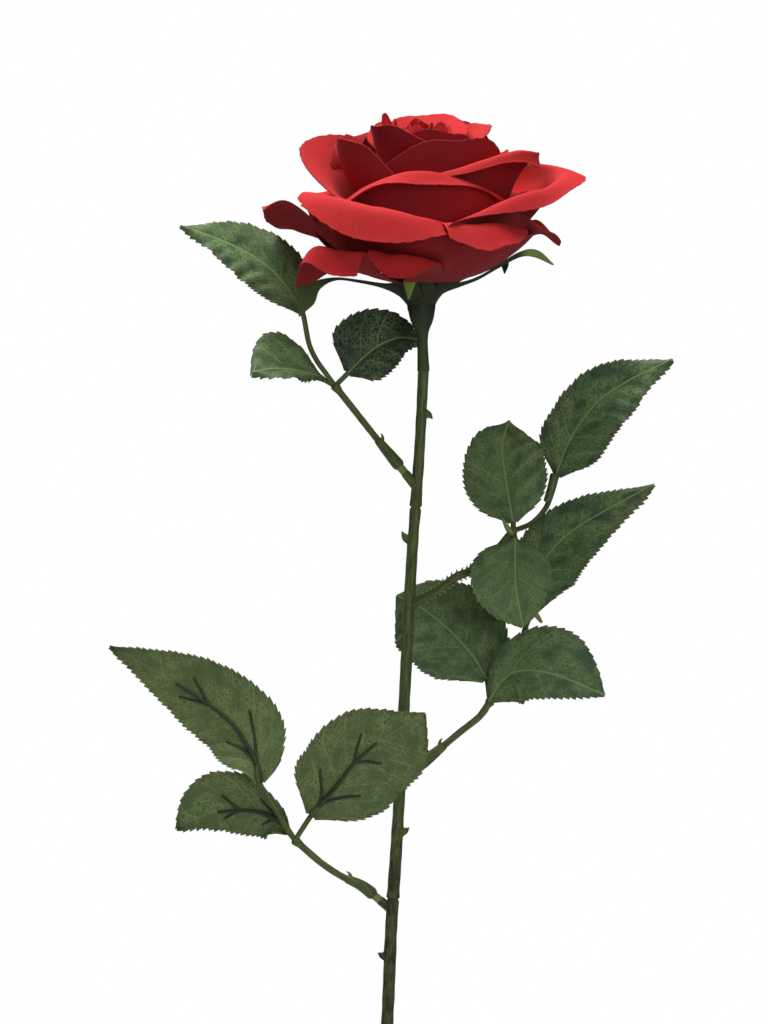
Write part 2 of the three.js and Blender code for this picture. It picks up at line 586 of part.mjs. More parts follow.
function makeCalyx() {
  const pieces = [rod(curveThrough(calyx.route), (t) => alongValues(calyx.radii, t), 8, 10)];
  pieces.push(inBloomFrame(turned(calyx.cup, 10)));
  for (const sepal of sepals) {
    const sheet = new THREE.PlaneGeometry(2, 1, 2, 7);
    const places = sheet.getAttribute("position");
    for (let i = 0; i < places.count; i++) {
      const place = sepalPoint(sepal, places.getX(i), places.getY(i) + 0.5);
      places.setXYZ(i, place.x, place.y, place.z);
    }
    pieces.push(blade(sheet, calyx.sepalThickness));
  }
  return fused(pieces.map(solidOf));
}

// ---------- Vase ----------

function makeVase() {
  const outline = curveThrough(vase.outline.map(([radius, height]) => [radius, 0, height]));
  const outer = outline.getSpacedPoints(vase.steps).map((place) => [place.x, place.z]);
  const inner = outer.filter(([, height]) => height > vase.floor + vase.floorRound)
    .map(([radius, height]) => [radius - vase.wall, height]).reverse();
  const floorRadius = vase.outline[0][0] - vase.wall;
  return solidOf(turned([[0, 0], ...outer, ...inner, [floorRadius, vase.floor], [0, vase.floor]],
    vase.sides));
}

// ---------- The assembled part ----------

const finishes = {
  glaze: new THREE.MeshStandardMaterial({ color: 0xe9e4d8, roughness: 0.35, metalness: 0 }),
  stem: new THREE.MeshStandardMaterial({ color: 0x4a5a32, roughness: 0.6, metalness: 0 }),
  calyx: new THREE.MeshStandardMaterial({ color: 0x243020, roughness: 0.55, metalness: 0 }),
  petal: new THREE.MeshStandardMaterial({ color: 0xc41f26, roughness: 0.85, metalness: 0 }),
  leaf: new THREE.MeshStandardMaterial({ color: 0x2f4a34, roughness: 0.7, metalness: 0 }),
};

function meshOf(name, solid, material) {
  const mesh = new THREE.Mesh(geometryOf(solid), material);
  mesh.name = name;
  return mesh;
}

const rose = new THREE.Group();
rose.add(meshOf("vase", makeVase(), finishes.glaze));
rose.add(meshOf("stem", makeStem(), finishes.stem));
rose.add(meshOf("calyx", makeCalyx(), finishes.calyx));
rose.add(meshOf("bloom", makeBloom(), finishes.petal));
for (const [name, route] of Object.entries(sprays)) {
  rose.add(meshOf("stalk_" + name, makeSpray(route), finishes.stem));
}
for (const [name, leaf] of Object.entries(leaves)) {
  rose.add(meshOf("leaf_" + name, solidOf(blade(leafSheet(leaf), leafCloth)), finishes.leaf));
}

export default rose;
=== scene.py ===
# A red cloth rose on a long moulded stem, standing in a plain stoneware bud vase.
# Shapes are worked out in millimetres and turned to metres where a mesh is made.
import math

import bpy
import numpy as np
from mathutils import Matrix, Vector


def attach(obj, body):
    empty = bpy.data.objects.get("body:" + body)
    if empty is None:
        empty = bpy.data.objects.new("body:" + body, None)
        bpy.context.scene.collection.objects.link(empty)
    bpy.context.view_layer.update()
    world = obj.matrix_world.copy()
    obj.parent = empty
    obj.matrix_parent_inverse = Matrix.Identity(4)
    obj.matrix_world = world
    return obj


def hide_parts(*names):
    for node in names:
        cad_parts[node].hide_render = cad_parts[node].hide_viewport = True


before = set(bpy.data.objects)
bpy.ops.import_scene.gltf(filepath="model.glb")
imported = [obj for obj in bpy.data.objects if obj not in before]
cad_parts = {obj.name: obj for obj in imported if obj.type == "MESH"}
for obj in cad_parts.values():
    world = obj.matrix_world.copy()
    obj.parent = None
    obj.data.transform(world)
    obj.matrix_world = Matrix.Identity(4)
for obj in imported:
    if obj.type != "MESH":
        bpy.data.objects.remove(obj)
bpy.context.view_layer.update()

metre = 0.001  # one millimetre
axisGap = 0.05  # turned bodies stop this far from their axis


def lineThrough(points, t):
    # the places at shares t of a smooth line through the points
    points = np.asarray(points, float)
    padded = np.vstack([2 * points[0] - points[1], points, 2 * points[-1] - points[-2]])
    t = np.clip(np.asarray(t, float), 0, 1)
    spans = len(points) - 1
    i = np.minimum((t * spans).astype(int), spans - 1)
    w = (t * spans - i)[..., None]
    a, b, c, d = (padded[i + k] for k in range(4))
    return b + 0.5 * w * (c - a + w * (2 * a - 5 * b + 4 * c - d + w * (3 * (b - c) + d - a)))


def valueAlong(values, t):
    # the value at shares t of a smooth line through evenly spaced values
    steps = np.arange(len(values), dtype=float)
    return lineThrough(np.column_stack([steps, values]), t)[..., 1]


def lineLength(points, count=60):
    return np.linalg.norm(np.diff(lineThrough(points, np.linspace(0, 1, count)), axis=0), axis=1).sum()


def evenShares(points, u):
    # turns shares of the line's length into shares t
    t = np.linspace(0, 1, 201)
    run = np.linalg.norm(np.diff(lineThrough(points, t), axis=0), axis=1).cumsum()
    run = np.concatenate([[0], run])
    return np.interp(np.clip(u, 0, 1) * run[-1], run, t)


def directionAlong(points, t):
    step = 1e-4
    ahead = lineThrough(points, np.minimum(t + step, 1))
    return unit(ahead - lineThrough(points, np.maximum(t - step, 0)))


def unit(vectors):
    return vectors / np.maximum(np.linalg.norm(vectors, axis=-1, keepdims=True), 1e-9)


def smooth(x, low, high):
    x = np.clip((np.asarray(x, float) - low) / (high - low), 0, 1)
    return x * x * (3 - 2 * x)


def ripple(x, seed, rate):
    # a smooth, uneven line from three waves, about -1 to 1. rate is in radians for each mm
    a, b, c = np.random.default_rng(seed).uniform(0, 2 * math.pi, 3)
    return (np.sin(rate * x + a) + 0.6 * np.sin(1.9 * rate * x + b) + 0.4 * np.sin(3.7 * rate * x + c)) / 2


def gridFaces(rows, columns, closed=False):
    # four-cornered faces of a grid, numbered row by row
    across = columns if closed else columns - 1
    r, c = np.meshgrid(np.arange(rows - 1), np.arange(across), indexing="ij")
    d = (c + 1) % columns
    faces = np.stack([r * columns + c, r * columns + d, (r + 1) * columns + d, (r + 1) * columns + c], -1)
    return faces.reshape(-1, 4)


def gridNormals(places):
    return unit(np.cross(np.gradient(places, axis=1), np.gradient(places, axis=0)))


def part(places, faces, spots, slots=0, sharp=()):
    # a piece of mesh: places in mm, faces, a spot for the pattern at each place and a slot for each face
    faces = np.asarray(faces)
    return {"places": np.asarray(places, float).reshape(-1, 3), "faces": faces,
            "spots": np.asarray(spots, float).reshape(-1, 3),
            "slots": np.broadcast_to(slots, len(faces)), "sharp": np.asarray(sharp, int).reshape(-1, 2)}


def clothPart(places, thickness, spots, slots=(0, 1)):
    # an open grid made into cloth of that thickness, with crisp cut edges
    rows, columns = places.shape[:2]
    half = gridNormals(places) * (thickness / 2)
    count = rows * columns
    front = gridFaces(rows, columns)
    index = np.arange(count).reshape(rows, columns)
    loop = np.concatenate([index[0, :-1], index[:-1, -1], index[-1, :0:-1], index[:0:-1, 0]])
    after = np.roll(loop, -1)
    rim = np.stack([after, loop, loop + count, after + count], -1)
    faces = np.vstack([front, front[:, ::-1] + count, rim])
    slotOf = np.repeat([slots[0], slots[1], slots[0]], [len(front), len(front), len(rim)])
    sharp = np.vstack([np.stack([loop, after], -1), np.stack([loop, after], -1) + count])
    return part(np.concatenate([places + half, places - half]), faces,
                np.concatenate([spots, spots]), slotOf, sharp)


def rodPart(points, radius, steps, sides, slot=0, squash=1.0):
    # a rod on a smooth line. radius is a number or a function of the share along it
    share = np.linspace(0, 1, steps + 1)
    t = evenShares(points, share)
    middle = lineThrough(points, t)
    way = directionAlong(points, t)
    side = np.zeros_like(way)
    start = np.eye(3)[np.argmin(np.abs(way[0]))]
    side[0] = unit(start - way[0] * (start @ way[0]))
    for i in range(1, len(way)):
        side[i] = unit(side[i - 1] - way[i] * (side[i - 1] @ way[i]))
    other = np.cross(way, side)
    size = np.array([radius(s) for s in share]) if callable(radius) else np.full(steps + 1, float(radius))
    # each end closes in a low dome, half as high as a round one
    dome = np.array([0.05, 0.6, 0.9])
    rings = len(dome)
    rise = np.sqrt(1 - dome ** 2) / 2
    middle = np.vstack([middle[0] - way[0] * (rise * size[0])[:, None], middle,
                        middle[-1] + way[-1] * (rise[::-1] * size[-1])[:, None]])
    side, other = (np.vstack([np.repeat(a[:1], rings, 0), a, np.repeat(a[-1:], rings, 0)])
                   for a in (side, other))
    along = np.concatenate([np.zeros(rings), share, np.ones(rings)]) * lineLength(points)
    size = np.concatenate([dome * size[0], size, dome[::-1] * size[-1]])
    turn = np.arange(sides) * 2 * math.pi / sides
    ring = np.cos(turn)[None, :, None] * side[:, None] + squash * np.sin(turn)[None, :, None] * other[:, None]
    places = middle[:, None] + ring * size[:, None, None]
    spots = np.stack(np.broadcast_arrays(turn[None, :] * size[:, None], along[:, None], size[:, None]), -1)
    return part(places, gridFaces(len(middle), sides, True), spots, slot)


def taper(thick, thin, power=1):
    # a rod's radius, from thick at its start to thin at its end
    return lambda share: thick - (thick - thin) * share ** power


def turnedPart(profile, sides):
    # a body turned about the Z axis from a profile of radius and height
    profile = np.asarray(profile, float)
    turn = np.arange(sides) * 2 * math.pi / sides
    places = np.stack([profile[:, :1] * np.cos(turn), profile[:, :1] * np.sin(turn),
                       np.repeat(profile[:, 1:], sides, 1)], -1)
    return part(places, gridFaces(len(profile), sides, True), places)


def addPiece(name, parts, materials, node):
    # joins the parts into one object that rides on the root and stands for a node of the frame
    starts = np.cumsum([0] + [len(p["places"]) for p in parts])
    places = np.concatenate([p["places"] for p in parts]) * metre
    faces = np.concatenate([p["faces"] + start for p, start in zip(parts, starts)])
    sharp = np.concatenate([p["sharp"] + start for p, start in zip(parts, starts)])
    mesh = bpy.data.meshes.new(name)
    mesh.from_pydata(places.tolist(), [], faces.tolist())
    mesh.polygons.foreach_set("material_index", np.concatenate([p["slots"] for p in parts]).astype(np.int32))
    mesh.polygons.foreach_set("use_smooth", np.ones(len(faces), bool))
    spots = mesh.attributes.new("spot", "FLOAT_VECTOR", "POINT")
    spots.data.foreach_set("vector", np.concatenate([p["spots"] for p in parts]).astype(np.float32).ravel())
    if len(sharp):
        edges = np.empty(len(mesh.edges) * 2, np.int32)
        mesh.edges.foreach_get("vertices", edges)
        pairs = np.sort(edges.reshape(-1, 2), axis=1).astype(np.int64)
        crisp = np.sort(sharp, axis=1).astype(np.int64)
        count = len(places)
        mesh.edges.foreach_set("use_edge_sharp", np.isin(pairs @ [count, 1], crisp @ [count, 1]))
    for material in materials:
        mesh.materials.append(material)
    piece = bpy.data.objects.new(name, mesh)
    bpy.context.scene.collection.objects.link(piece)
    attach(piece, "root")
    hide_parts(node)
    return piece


def toLinear(hexColour):
    # an sRGB hex value as the linear colour that the shaders take
    parts = [int(hexColour[i:i + 2], 16) / 255 for i in (1, 3, 5)]
    return tuple(c / 12.92 if c <= 0.04045 else ((c + 0.055) / 1.055) ** 2.4 for c in parts) + (1,)


def addNode(tree, kind, values=None, links=None, **settings):
    # a shader node with its own settings, its input values, and links from other nodes
    node = tree.nodes.new("ShaderNode" + kind)
    for name, value in settings.items():
        setattr(node, name, value)
    for socket, value in (values or {}).items():
        node.inputs[socket].default_value = value
    linkInputs(tree, node, links or {})
    return node


def linkInputs(tree, node, links):
    # a link comes from an output, or from a node, which stands for its first output
    for socket, source in links.items():
        tree.links.new(getattr(source, "outputs", [source])[0], node.inputs[socket])


def startMaterial(name, uniform):
    # a material with a principled shader. uniform holds what is the same all over the surface
    material = bpy.data.materials.new(name)
    material.use_nodes = True
    tree = material.node_tree
    shader = next(node for node in tree.nodes if node.type == "BSDF_PRINCIPLED")
    for socket, value in uniform.items():
        shader.inputs[socket].default_value = value
    return material, tree, shader


bloomLook = {
    "base": (17, 0, 453.6),  # where the petals gather
    "tilt": 14,  # degrees, towards -Y
    "cloth": 0.4,
    "columns": 44,
    "rows": 34,
    "rowCrowding": 0.85,  # under 1 it brings rows closer at the rim, where the cloth bends most
    "rootWidth": 0.22,  # of the full width
    "fullWidthFrom": 0.65,  # share of the way up
    "cornerPower": 2.5,  # higher keeps the rim level for longer before it rounds off at the sides
    "rimFrom": 0.35,  # share of the way up where out and lift start to tell
    "tipFrom": 0.6,  # and where a drawn-out tip starts
    "leastRadius": 8,  # no petal is curled tighter than this
    "tipWidth": 0.25,  # of the half width
    "usualHeight": 45,  # of a petal, root to rim
    "fray": 0.25,  # unevenness of the cut edge
    "frayRate": 1.6,
    "frayPower": 12,  # higher keeps the fray closer to the rim
    "crease": 0.35,  # depth of the soft folds that run from root to rim
    "creaseRate": 0.22,
    "petalUpper": "#d53032",
    # the outer side's red is painted shade: the same cloth as the inner side, made darker
    "petalUnderShaded": "#98222a",
    "petalDeep": "#6c171d",
    "petalEdge": "#c8524e",
    "sheen": "#ff9a90",
    "roughness": 0.82,
    "threadSpacing": 0.55,  # the real cloth has about 0.2, drawn coarser to show
    "threadRelief": 0.08,
    "yarnGrain": 0.7,
    "dyeBlotch": 9,
    "spotShift": 60,  # mm that the pattern moves from one petal to the next
}

petalKinds = {
    "guard": dict(spine=[(9, 7), (22, 9), (38, 14), (47, 19), (52, 12)], half=21, wrap=(0.9, 0.5)),
    "outer": dict(spine=[(11, 9), (24, 12), (36, 21), (40, 31), (48, 30)], half=26, wrap=(0.9, 0.7)),
    "middle": dict(spine=[(11, 10), (20, 15), (27, 27), (29, 40), (34, 47)], half=24, wrap=(0.9, 0.8)),
    "inner": dict(spine=[(10, 17), (16, 23), (20, 34), (21, 46), (22, 56)], half=17, wrap=(1, 0.9)),
    "heart": dict(spine=[(5, 28), (9, 36), (10, 45), (9, 53), (7.5, 58)], half=11, wrap=(1, 1.1)),
}
petalDefaults = dict(round=0.2, fold=1, out=(0,) * 5, lift=(0,) * 5, drop=(0,) * 5, point=(0, 0),
                     tuck=2, spread=1, rise=0, wave=0.6, sides=(-1, 1), faces=(0, 1))

# at is the direction in degrees. out and lift push the rim out and up at five places across, drop moves
# only what lies beyond the fold, point draws the rim out to a tip at one place across, and sides are the
# two edges the cloth is cut to. faces are the material slots of the outer and the inner side: slot 0 is
# the darker copy of the red cloth, with painted shade, and slot 1 the lit copy
petals = [
    dict(kind="guard", at=-127, spine=[(9, 7), (18, 7), (33, 13), (41, 21), (46, 14)], fold=0.75,
         tuck=1, lift=(-15, -1, 0, 0, 1), out=(3, 6, 3, 0, -4), drop=(0, 2, 0, -1, 2), sides=(-1, 0.36)),
    dict(kind="guard", at=-99, spine=[(9, 7), (20, 10), (32, 15), (40, 20), (46, 13)], half=12, fold=0.75,
         tuck=1, lift=(0, 0, 0, 0, -2), drop=(0, 1, 0, 2, 3)),
    dict(kind="guard", at=-48, spine=[(9, 7.5), (15, 6.5), (25, 11), (34, 17.5), (38, 22)], half=24,
         tuck=0.5, lift=(3.8, 2, 0, 1.5, 4)),
    dict(kind="guard", at=-10, spine=[(9, 8), (20, 11.5), (32, 17), (40, 21), (46.5, 19.2)], half=19,
         fold=0.7, round=0.12, tuck=0.5, lift=(10, 6, 1, 1, 3), drop=(-5, -1.5, -1, -3, -5), point=(0, 1)),
    dict(kind="guard", at=62, spread=0.85, tuck=1),
    dict(kind="guard", at=112, spread=0.85, tuck=1),
    dict(kind="outer", at=-112, spine=[(11, 9), (24, 12.5), (36, 21), (39, 33), (43, 33), (48, 25)], half=30,
         fold=0.8, lift=(2, 3.5, 1.5, 0, -5), out=(3, 1, 0, 0, -2), drop=(0.5, 0, -1.2, 0.5, 5)),
    dict(kind="outer", at=-62, spine=[(11, 10), (25, 15.5), (38, 23), (45, 29), (48, 30.5), (54, 24.5)],
         half=14, fold=0.8, round=0.1, lift=(-2, -0.5, 0, 0, -1), out=(-6, -1, 0, 0, 0),
         drop=(-1.5, -1, -0.8, 0.8, 2)),
    dict(kind="outer", at=-19, spine=[(10, 10), (23, 16), (35, 25), (43, 33), (46, 38), (51, 37)], half=45,
         wrap=(0.9, 0.95), fold=0.8, lift=(-8, 0, 2.5, 5.5, 4), out=(-2, 0, 0, -3, -10),
         drop=(-2, -4, -1, -1, 0), point=(0.28, 6)),
    dict(kind="outer", at=52, spread=0.86),
    dict(kind="outer", at=98),
    dict(kind="outer", at=146, spread=0.9),
    dict(kind="outer", at=172, spine=[(11, 9), (24, 13.5), (36, 22), (46, 27.5), (53, 28.5)], half=22,
         fold=0.7, round=0.08, tuck=-2.5, rise=-1.8, lift=(-6.5, -5, -3.5, 3.5, 6.5), out=(0, 0, 0, 1, 3),
         drop=(0, 0, 0, -1, -6)),
    dict(kind="middle", at=-90, spine=[(11, 10), (21, 15), (28, 28), (28, 42), (29, 46.5), (33, 44)],
         half=34, wrap=(0.8, 0.5), fold=0.8, lift=(-18, -6, 0, -4, -14), drop=(0, 1.5, -1, 1, 2)),
    dict(kind="middle", at=-28, spine=[(11, 10), (19, 15), (25, 27), (29, 40), (34, 47), (37, 46.5)],
         half=31, fold=0.8, lift=(-7, -1, 4, 3, 0), out=(-15, -6, 1, 4, 3), drop=(0, -1, -2.7, -5, -5),
         tuck=3),
    dict(kind="middle", at=36, rise=-2),
    dict(kind="middle", at=88, lift=(4,) * 5),
    dict(kind="middle", at=130, half=19, lift=(4,) * 5),
    dict(kind="middle", at=184, spine=[(11, 10), (19, 16), (24.5, 27), (30.5, 37.5), (41, 47.5)], half=34,
         lift=(9, 5, 0, -5, -10), out=(0, 0, 0, -3, -3)),
    dict(kind="inner", at=-138, spine=[(10, 17), (17, 23), (23, 33), (26, 42), (27, 51)], half=20,
         lift=(3, 5, 3, -2, -8), out=(4, 4, 1, -1, -4)),
    dict(kind="inner", at=-66, spine=[(10, 17), (17, 23), (22, 33), (23, 45), (24, 56)], half=27,
         wrap=(0.9, 0.7), lift=(-6, -1, -0.5, 1, -2)),
    dict(kind="inner", at=0, spine=[(10, 17), (17, 23), (23, 33), (26, 43), (29, 50)],
         lift=(-4, -3, -2, -1, 1)),
    dict(kind="inner", at=52, half=30, spread=1.08, lift=(-4, -2, 0, 2, 2)),
    dict(kind="inner", at=112, half=20, lift=(2, 1, 0, -1, -2)),
    dict(kind="inner", at=160, spine=[(10, 17), (15, 24), (20, 34), (24, 44), (29, 53)], half=15,
         lift=(-1, -1, -1, -1, -2)),
    dict(kind="heart", at=-132, spine=[(5, 28), (9, 36), (10, 45), (11, 52), (12, 58)], spread=1.6, half=17,
         lift=(-1, 0, 0.5, 0.5, 0), rise=1),
    dict(kind="heart", at=-66, spine=[(5, 28), (9, 36), (10, 45), (11, 52), (11, 58)], spread=1.5, half=16,
         lift=(2, 1.5, 0.5, 0, -2), rise=-1),
    dict(kind="heart", at=15, spine=[(5, 28), (9, 36), (10, 44), (12, 50), (16, 55)], spread=1.5, half=16,
         lift=(-1.5, 0.5, 1.5, 3, 4)),
    dict(kind="heart", at=78, spine=[(5, 28), (8, 36), (9, 45), (11, 52), (16, 58)], spread=1.4, half=19,
         lift=(0, 0, 0, 1.5, 2.5)),
    dict(kind="heart", at=140, spine=[(5, 28), (8, 36), (9, 45), (11, 52), (15, 57)], spread=1.3, half=15,
         lift=(0, 0, -1, -2, -3)),
]
# the smallest petals, each turned on from the last, and a narrow point of cloth above them
# both sides of these take the lit copy of the red, with no painted shade
petals += [dict(kind="heart", at=-160 + 137.5 * i, spread=1.3 - 0.17 * i, rise=-0.8, half=12 - i, wave=1.5,
                lift=(0, 2, 0, -1, 2), faces=(1, 1)) for i in range(7)]
petals.append(dict(kind="heart", at=178, spine=[(5, 28), (8, 38), (10, 48), (11.5, 56), (12.7, 61.6)],
                   half=1.2, round=0.3, wave=0, faces=(1, 1)))


def inBloomFrame(places):
    # from the bloom's own frame to the part's: tilted forward and set on the calyx
    tilt = math.radians(bloomLook["tilt"])
    x, y, z = np.moveaxis(places, -1, 0)
    forward = y * math.cos(tilt) - z * math.sin(tilt)
    height = y * math.sin(tilt) + z * math.cos(tilt)
    return np.stack([x, forward, height], -1) + np.array(bloomLook["base"])


def petalPlaces(petal, across, up):
    # across runs from -1 to 1, up from 0 at the root to 1 at the rim
    look = bloomLook
    v = up * (1 - petal["round"] * np.abs(across) ** look["cornerPower"])
    spineRadius, spineHeight = np.moveaxis(lineThrough(petal["spine"], v), -1, 0)
    slopeOut, slopeUp = np.moveaxis(directionAlong(petal["spine"], v), -1, 0)
    under = petal["tuck"] * across
    radius = spineRadius * petal["spread"]
    widening = np.sin(math.pi / 2 * np.minimum(1, v / look["fullWidthFrom"]))
    half = petal["half"] * (look["rootWidth"] + (1 - look["rootWidth"]) * widening)
    wrapRoot, wrapRim = petal["wrap"]
    bend = (wrapRoot + (wrapRim - wrapRoot) * v * v) / np.maximum(radius, look["leastRadius"])
    turn = bend * across * half
    rim = smooth(v, look["rimFrom"], petal["fold"])
    lip = smooth(v, petal["fold"], 1) if petal["fold"] < 1 else 0 * v
    wave = petal["wave"] * v ** 3 * np.sin(2 * math.pi * across + petal["at"])
    share = (across + 1) / 2
    tipAt, tipReach = petal["point"]
    tip = tipReach * smooth(v, look["tipFrom"], 1) * np.exp(-((across - tipAt) / look["tipWidth"]) ** 2)
    out = radius - (1 - np.cos(turn)) / bend + under * slopeUp + tip + rim * valueAlong(petal["out"], share)
    side = np.sin(turn) / bend
    height = (spineHeight + petal["rise"] - under * slopeOut + wave
              + rim * valueAlong(petal["lift"], share) + lip * valueAlong(petal["drop"], share))
    at = math.radians(petal["at"])
    return np.stack([out * math.cos(at) - side * math.sin(at), out * math.sin(at) + side * math.cos(at),
                     height], -1)


def petalPart(petal, seed):
    petal = {**petalDefaults, **petalKinds[petal["kind"]], **petal}
    look = bloomLook
    across, up = np.meshgrid(np.linspace(*petal["sides"], look["columns"]), np.linspace(0, 1, look["rows"]))
    up = up ** look["rowCrowding"]
    acrossMm = across * petal["half"]
    fray = look["fray"] / look["usualHeight"] * ripple(acrossMm, seed, look["frayRate"])
    places = petalPlaces(petal, across, up * (1 + fray * up ** look["frayPower"]))
    folds = look["crease"] * ripple(acrossMm, seed + 100, look["creaseRate"]) * np.sin(math.pi * up) ** 0.8
    places = places + gridNormals(places) * folds[..., None]
    # spot: mm across, mm up, and mm to the nearest cut edge
    width = np.linalg.norm(np.diff(places, axis=1), axis=-1)
    acrossRun = np.concatenate([np.zeros((len(places), 1)), width.cumsum(1)], 1)
    total = acrossRun[:, -1:]
    tall = np.linalg.norm(np.diff(places, axis=0), axis=-1)
    upRun = np.concatenate([np.zeros((1, places.shape[1])), tall.cumsum(0)], 0)
    toEdge = np.minimum(np.minimum(acrossRun, total - acrossRun), upRun[-1:] - upRun)
    spots = np.stack([acrossRun - total / 2 + look["spotShift"] * seed, upRun, toEdge], -1)
    return clothPart(inBloomFrame(places), look["cloth"], spots, petal["faces"])


def petalMaterial(name, mainHex, deepHex):
    # Polyester taffeta, dyed, stiffened and pressed: matt, with a fine even weave and a soft bloom of
    # light at grazing angles. The cut edge is a hair paler where threads end.
    look = bloomLook
    material, tree, shader = startMaterial(name, {
        "Roughness": look["roughness"], "IOR": 1.45, "Specular IOR Level": 0.25,
        "Sheen Weight": 0.12, "Sheen Roughness": 0.4, "Sheen Tint": toLinear(look["sheen"])})
    spot = addNode(tree, "Attribute", attribute_name="spot")
    split = addNode(tree, "SeparateXYZ", links={0: spot.outputs["Vector"]})
    blotch = addNode(tree, "TexNoise", {"Scale": 1 / look["dyeBlotch"], "Detail": 3.0},
                     {"Vector": spot.outputs["Vector"]})
    grain = addNode(tree, "TexNoise", {"Scale": 1 / look["yarnGrain"], "Detail": 2.0},
                    {"Vector": spot.outputs["Vector"]})
    # darker over the lowest 26 mm, towards the root
    root = addNode(tree, "MapRange", {"From Min": 2.0, "From Max": 26.0}, {"Value": split.outputs["Y"]},
                   interpolation_type="SMOOTHSTEP")
    shade = addNode(tree, "Math", {1: 0.65}, {0: root}, operation="MULTIPLY")
    shade = addNode(tree, "Math", {1: 0.7}, {0: blotch, 2: shade}, operation="MULTIPLY_ADD")
    body = addNode(tree, "Mix", {6: toLinear(deepHex), 7: toLinear(mainHex)}, {0: shade}, data_type="RGBA")
    mottle = addNode(tree, "MapRange", {"From Min": 0.3, "From Max": 0.7, "To Min": 0.88, "To Max": 1.1},
                     {"Value": grain})
    body = addNode(tree, "VectorMath", links={0: body.outputs[2], 3: mottle}, operation="SCALE")
    edge = addNode(tree, "MapRange", {"From Min": 0.05, "From Max": 0.6, "To Min": 0.3, "To Max": 0.0},
                   {"Value": split.outputs["Z"]})
    edgeBreak = addNode(tree, "Math", links={0: edge, 1: grain}, operation="MULTIPLY")
    colour = addNode(tree, "Mix", {7: toLinear(look["petalEdge"])}, {0: edgeBreak, 6: body}, data_type="RGBA")
    # warp and weft threads
    threads = []
    for axis in ("X", "Y"):
        turn = addNode(tree, "Math", {1: 2 * math.pi / look["threadSpacing"]}, {0: split.outputs[axis]},
                       operation="MULTIPLY")
        threads.append(addNode(tree, "Math", links={0: turn}, operation="SINE"))
    weave = addNode(tree, "Math", links={0: threads[0], 1: threads[1]}, operation="MULTIPLY")
    relief = addNode(tree, "Math", {1: 0.8}, {0: grain, 2: weave}, operation="MULTIPLY_ADD")
    bump = addNode(tree, "Bump", {"Strength": 0.35, "Distance": look["threadRelief"] * metre},
                   {"Height": relief})
    rough = addNode(tree, "MapRange", {"To Min": look["roughness"] - 0.08,
                                       "To Max": look["roughness"] + 0.08}, {"Value": grain})
    linkInputs(tree, shader, {"Base Color": colour.outputs[2], "Normal": bump, "Roughness": rough})
    return material


def makeBloom():
    look = bloomLook
    # the outer side's material is the same red cloth painted darker, as painted shade; the inner side's is
    # the lit copy
    under = petalMaterial("taffetaPetalUnderShaded", look["petalUnderShaded"], look["petalDeep"])
    upper = petalMaterial("taffetaPetalUpper", look["petalUpper"], look["petalUnderShaded"])
    parts = {}
    for seed, petal in enumerate(petals, 1):
        parts.setdefault(petal["kind"], []).append(petalPart(petal, seed))
    for kind, petalParts in parts.items():
        addPiece("petals_" + kind, petalParts, [under, upper], "bloom")
    print("petals made:", len(petals))


leafLook = {
    "cloth": 0.35,
    "toothReach": 0.8,
    "toothPitch": 2.1,
    "toothPeak": 0.8,  # share of its pitch where a tooth is highest
    "toothLean": 0.5,
    "rowsPerTooth": 5,
    "columns": 25,
    "quilt": 0.3,  # how far the cloth swells between side veins
    "ruffle": 0.8,  # how far the edge waves
    "ruffleRates": (0.17, 0.3),  # of the edge's long and short waves, in radians for each mm
    "curl": 1.5,  # how far the edge turns down
    "veinSpacing": 7.5,
    "veinSlope": 0.8,  # how far a side vein runs forward for each mm outwards
    "veinRelief": 0.12,
    "netCell": 1.35,
    "wobble": 5,  # mm between the bends of a vein
    "printPatch": 8,
    "upper": "#607d51",
    "upperDark": "#2a4234",
    "upperVein": "#93ad6e",
    "under": "#687d4d",
    "underDark": "#556a45",
    "underVein": "#a3b47a",
    "scorch": "#53402f",  # brown that the print lays along parts of the edge
}

# the share of the half width at evenly spaced places, base to tip
leafShapes = {
    "long": (0.1, 0.72, 0.98, 1, 0.8, 0.4, 0.03),
    "blunt": (0.1, 0.74, 0.98, 1, 0.88, 0.58, 0.03),
    "early": (0.12, 0.88, 1, 0.93, 0.7, 0.36, 0.03),
    "late": (0.08, 0.34, 0.76, 1, 0.97, 0.62, 0.03),
    "full": (0.12, 0.88, 1, 1, 0.84, 0.42, 0.03),
    "broad": (0.1, 0.74, 0.98, 1, 0.98, 0.8, 0.03),
}
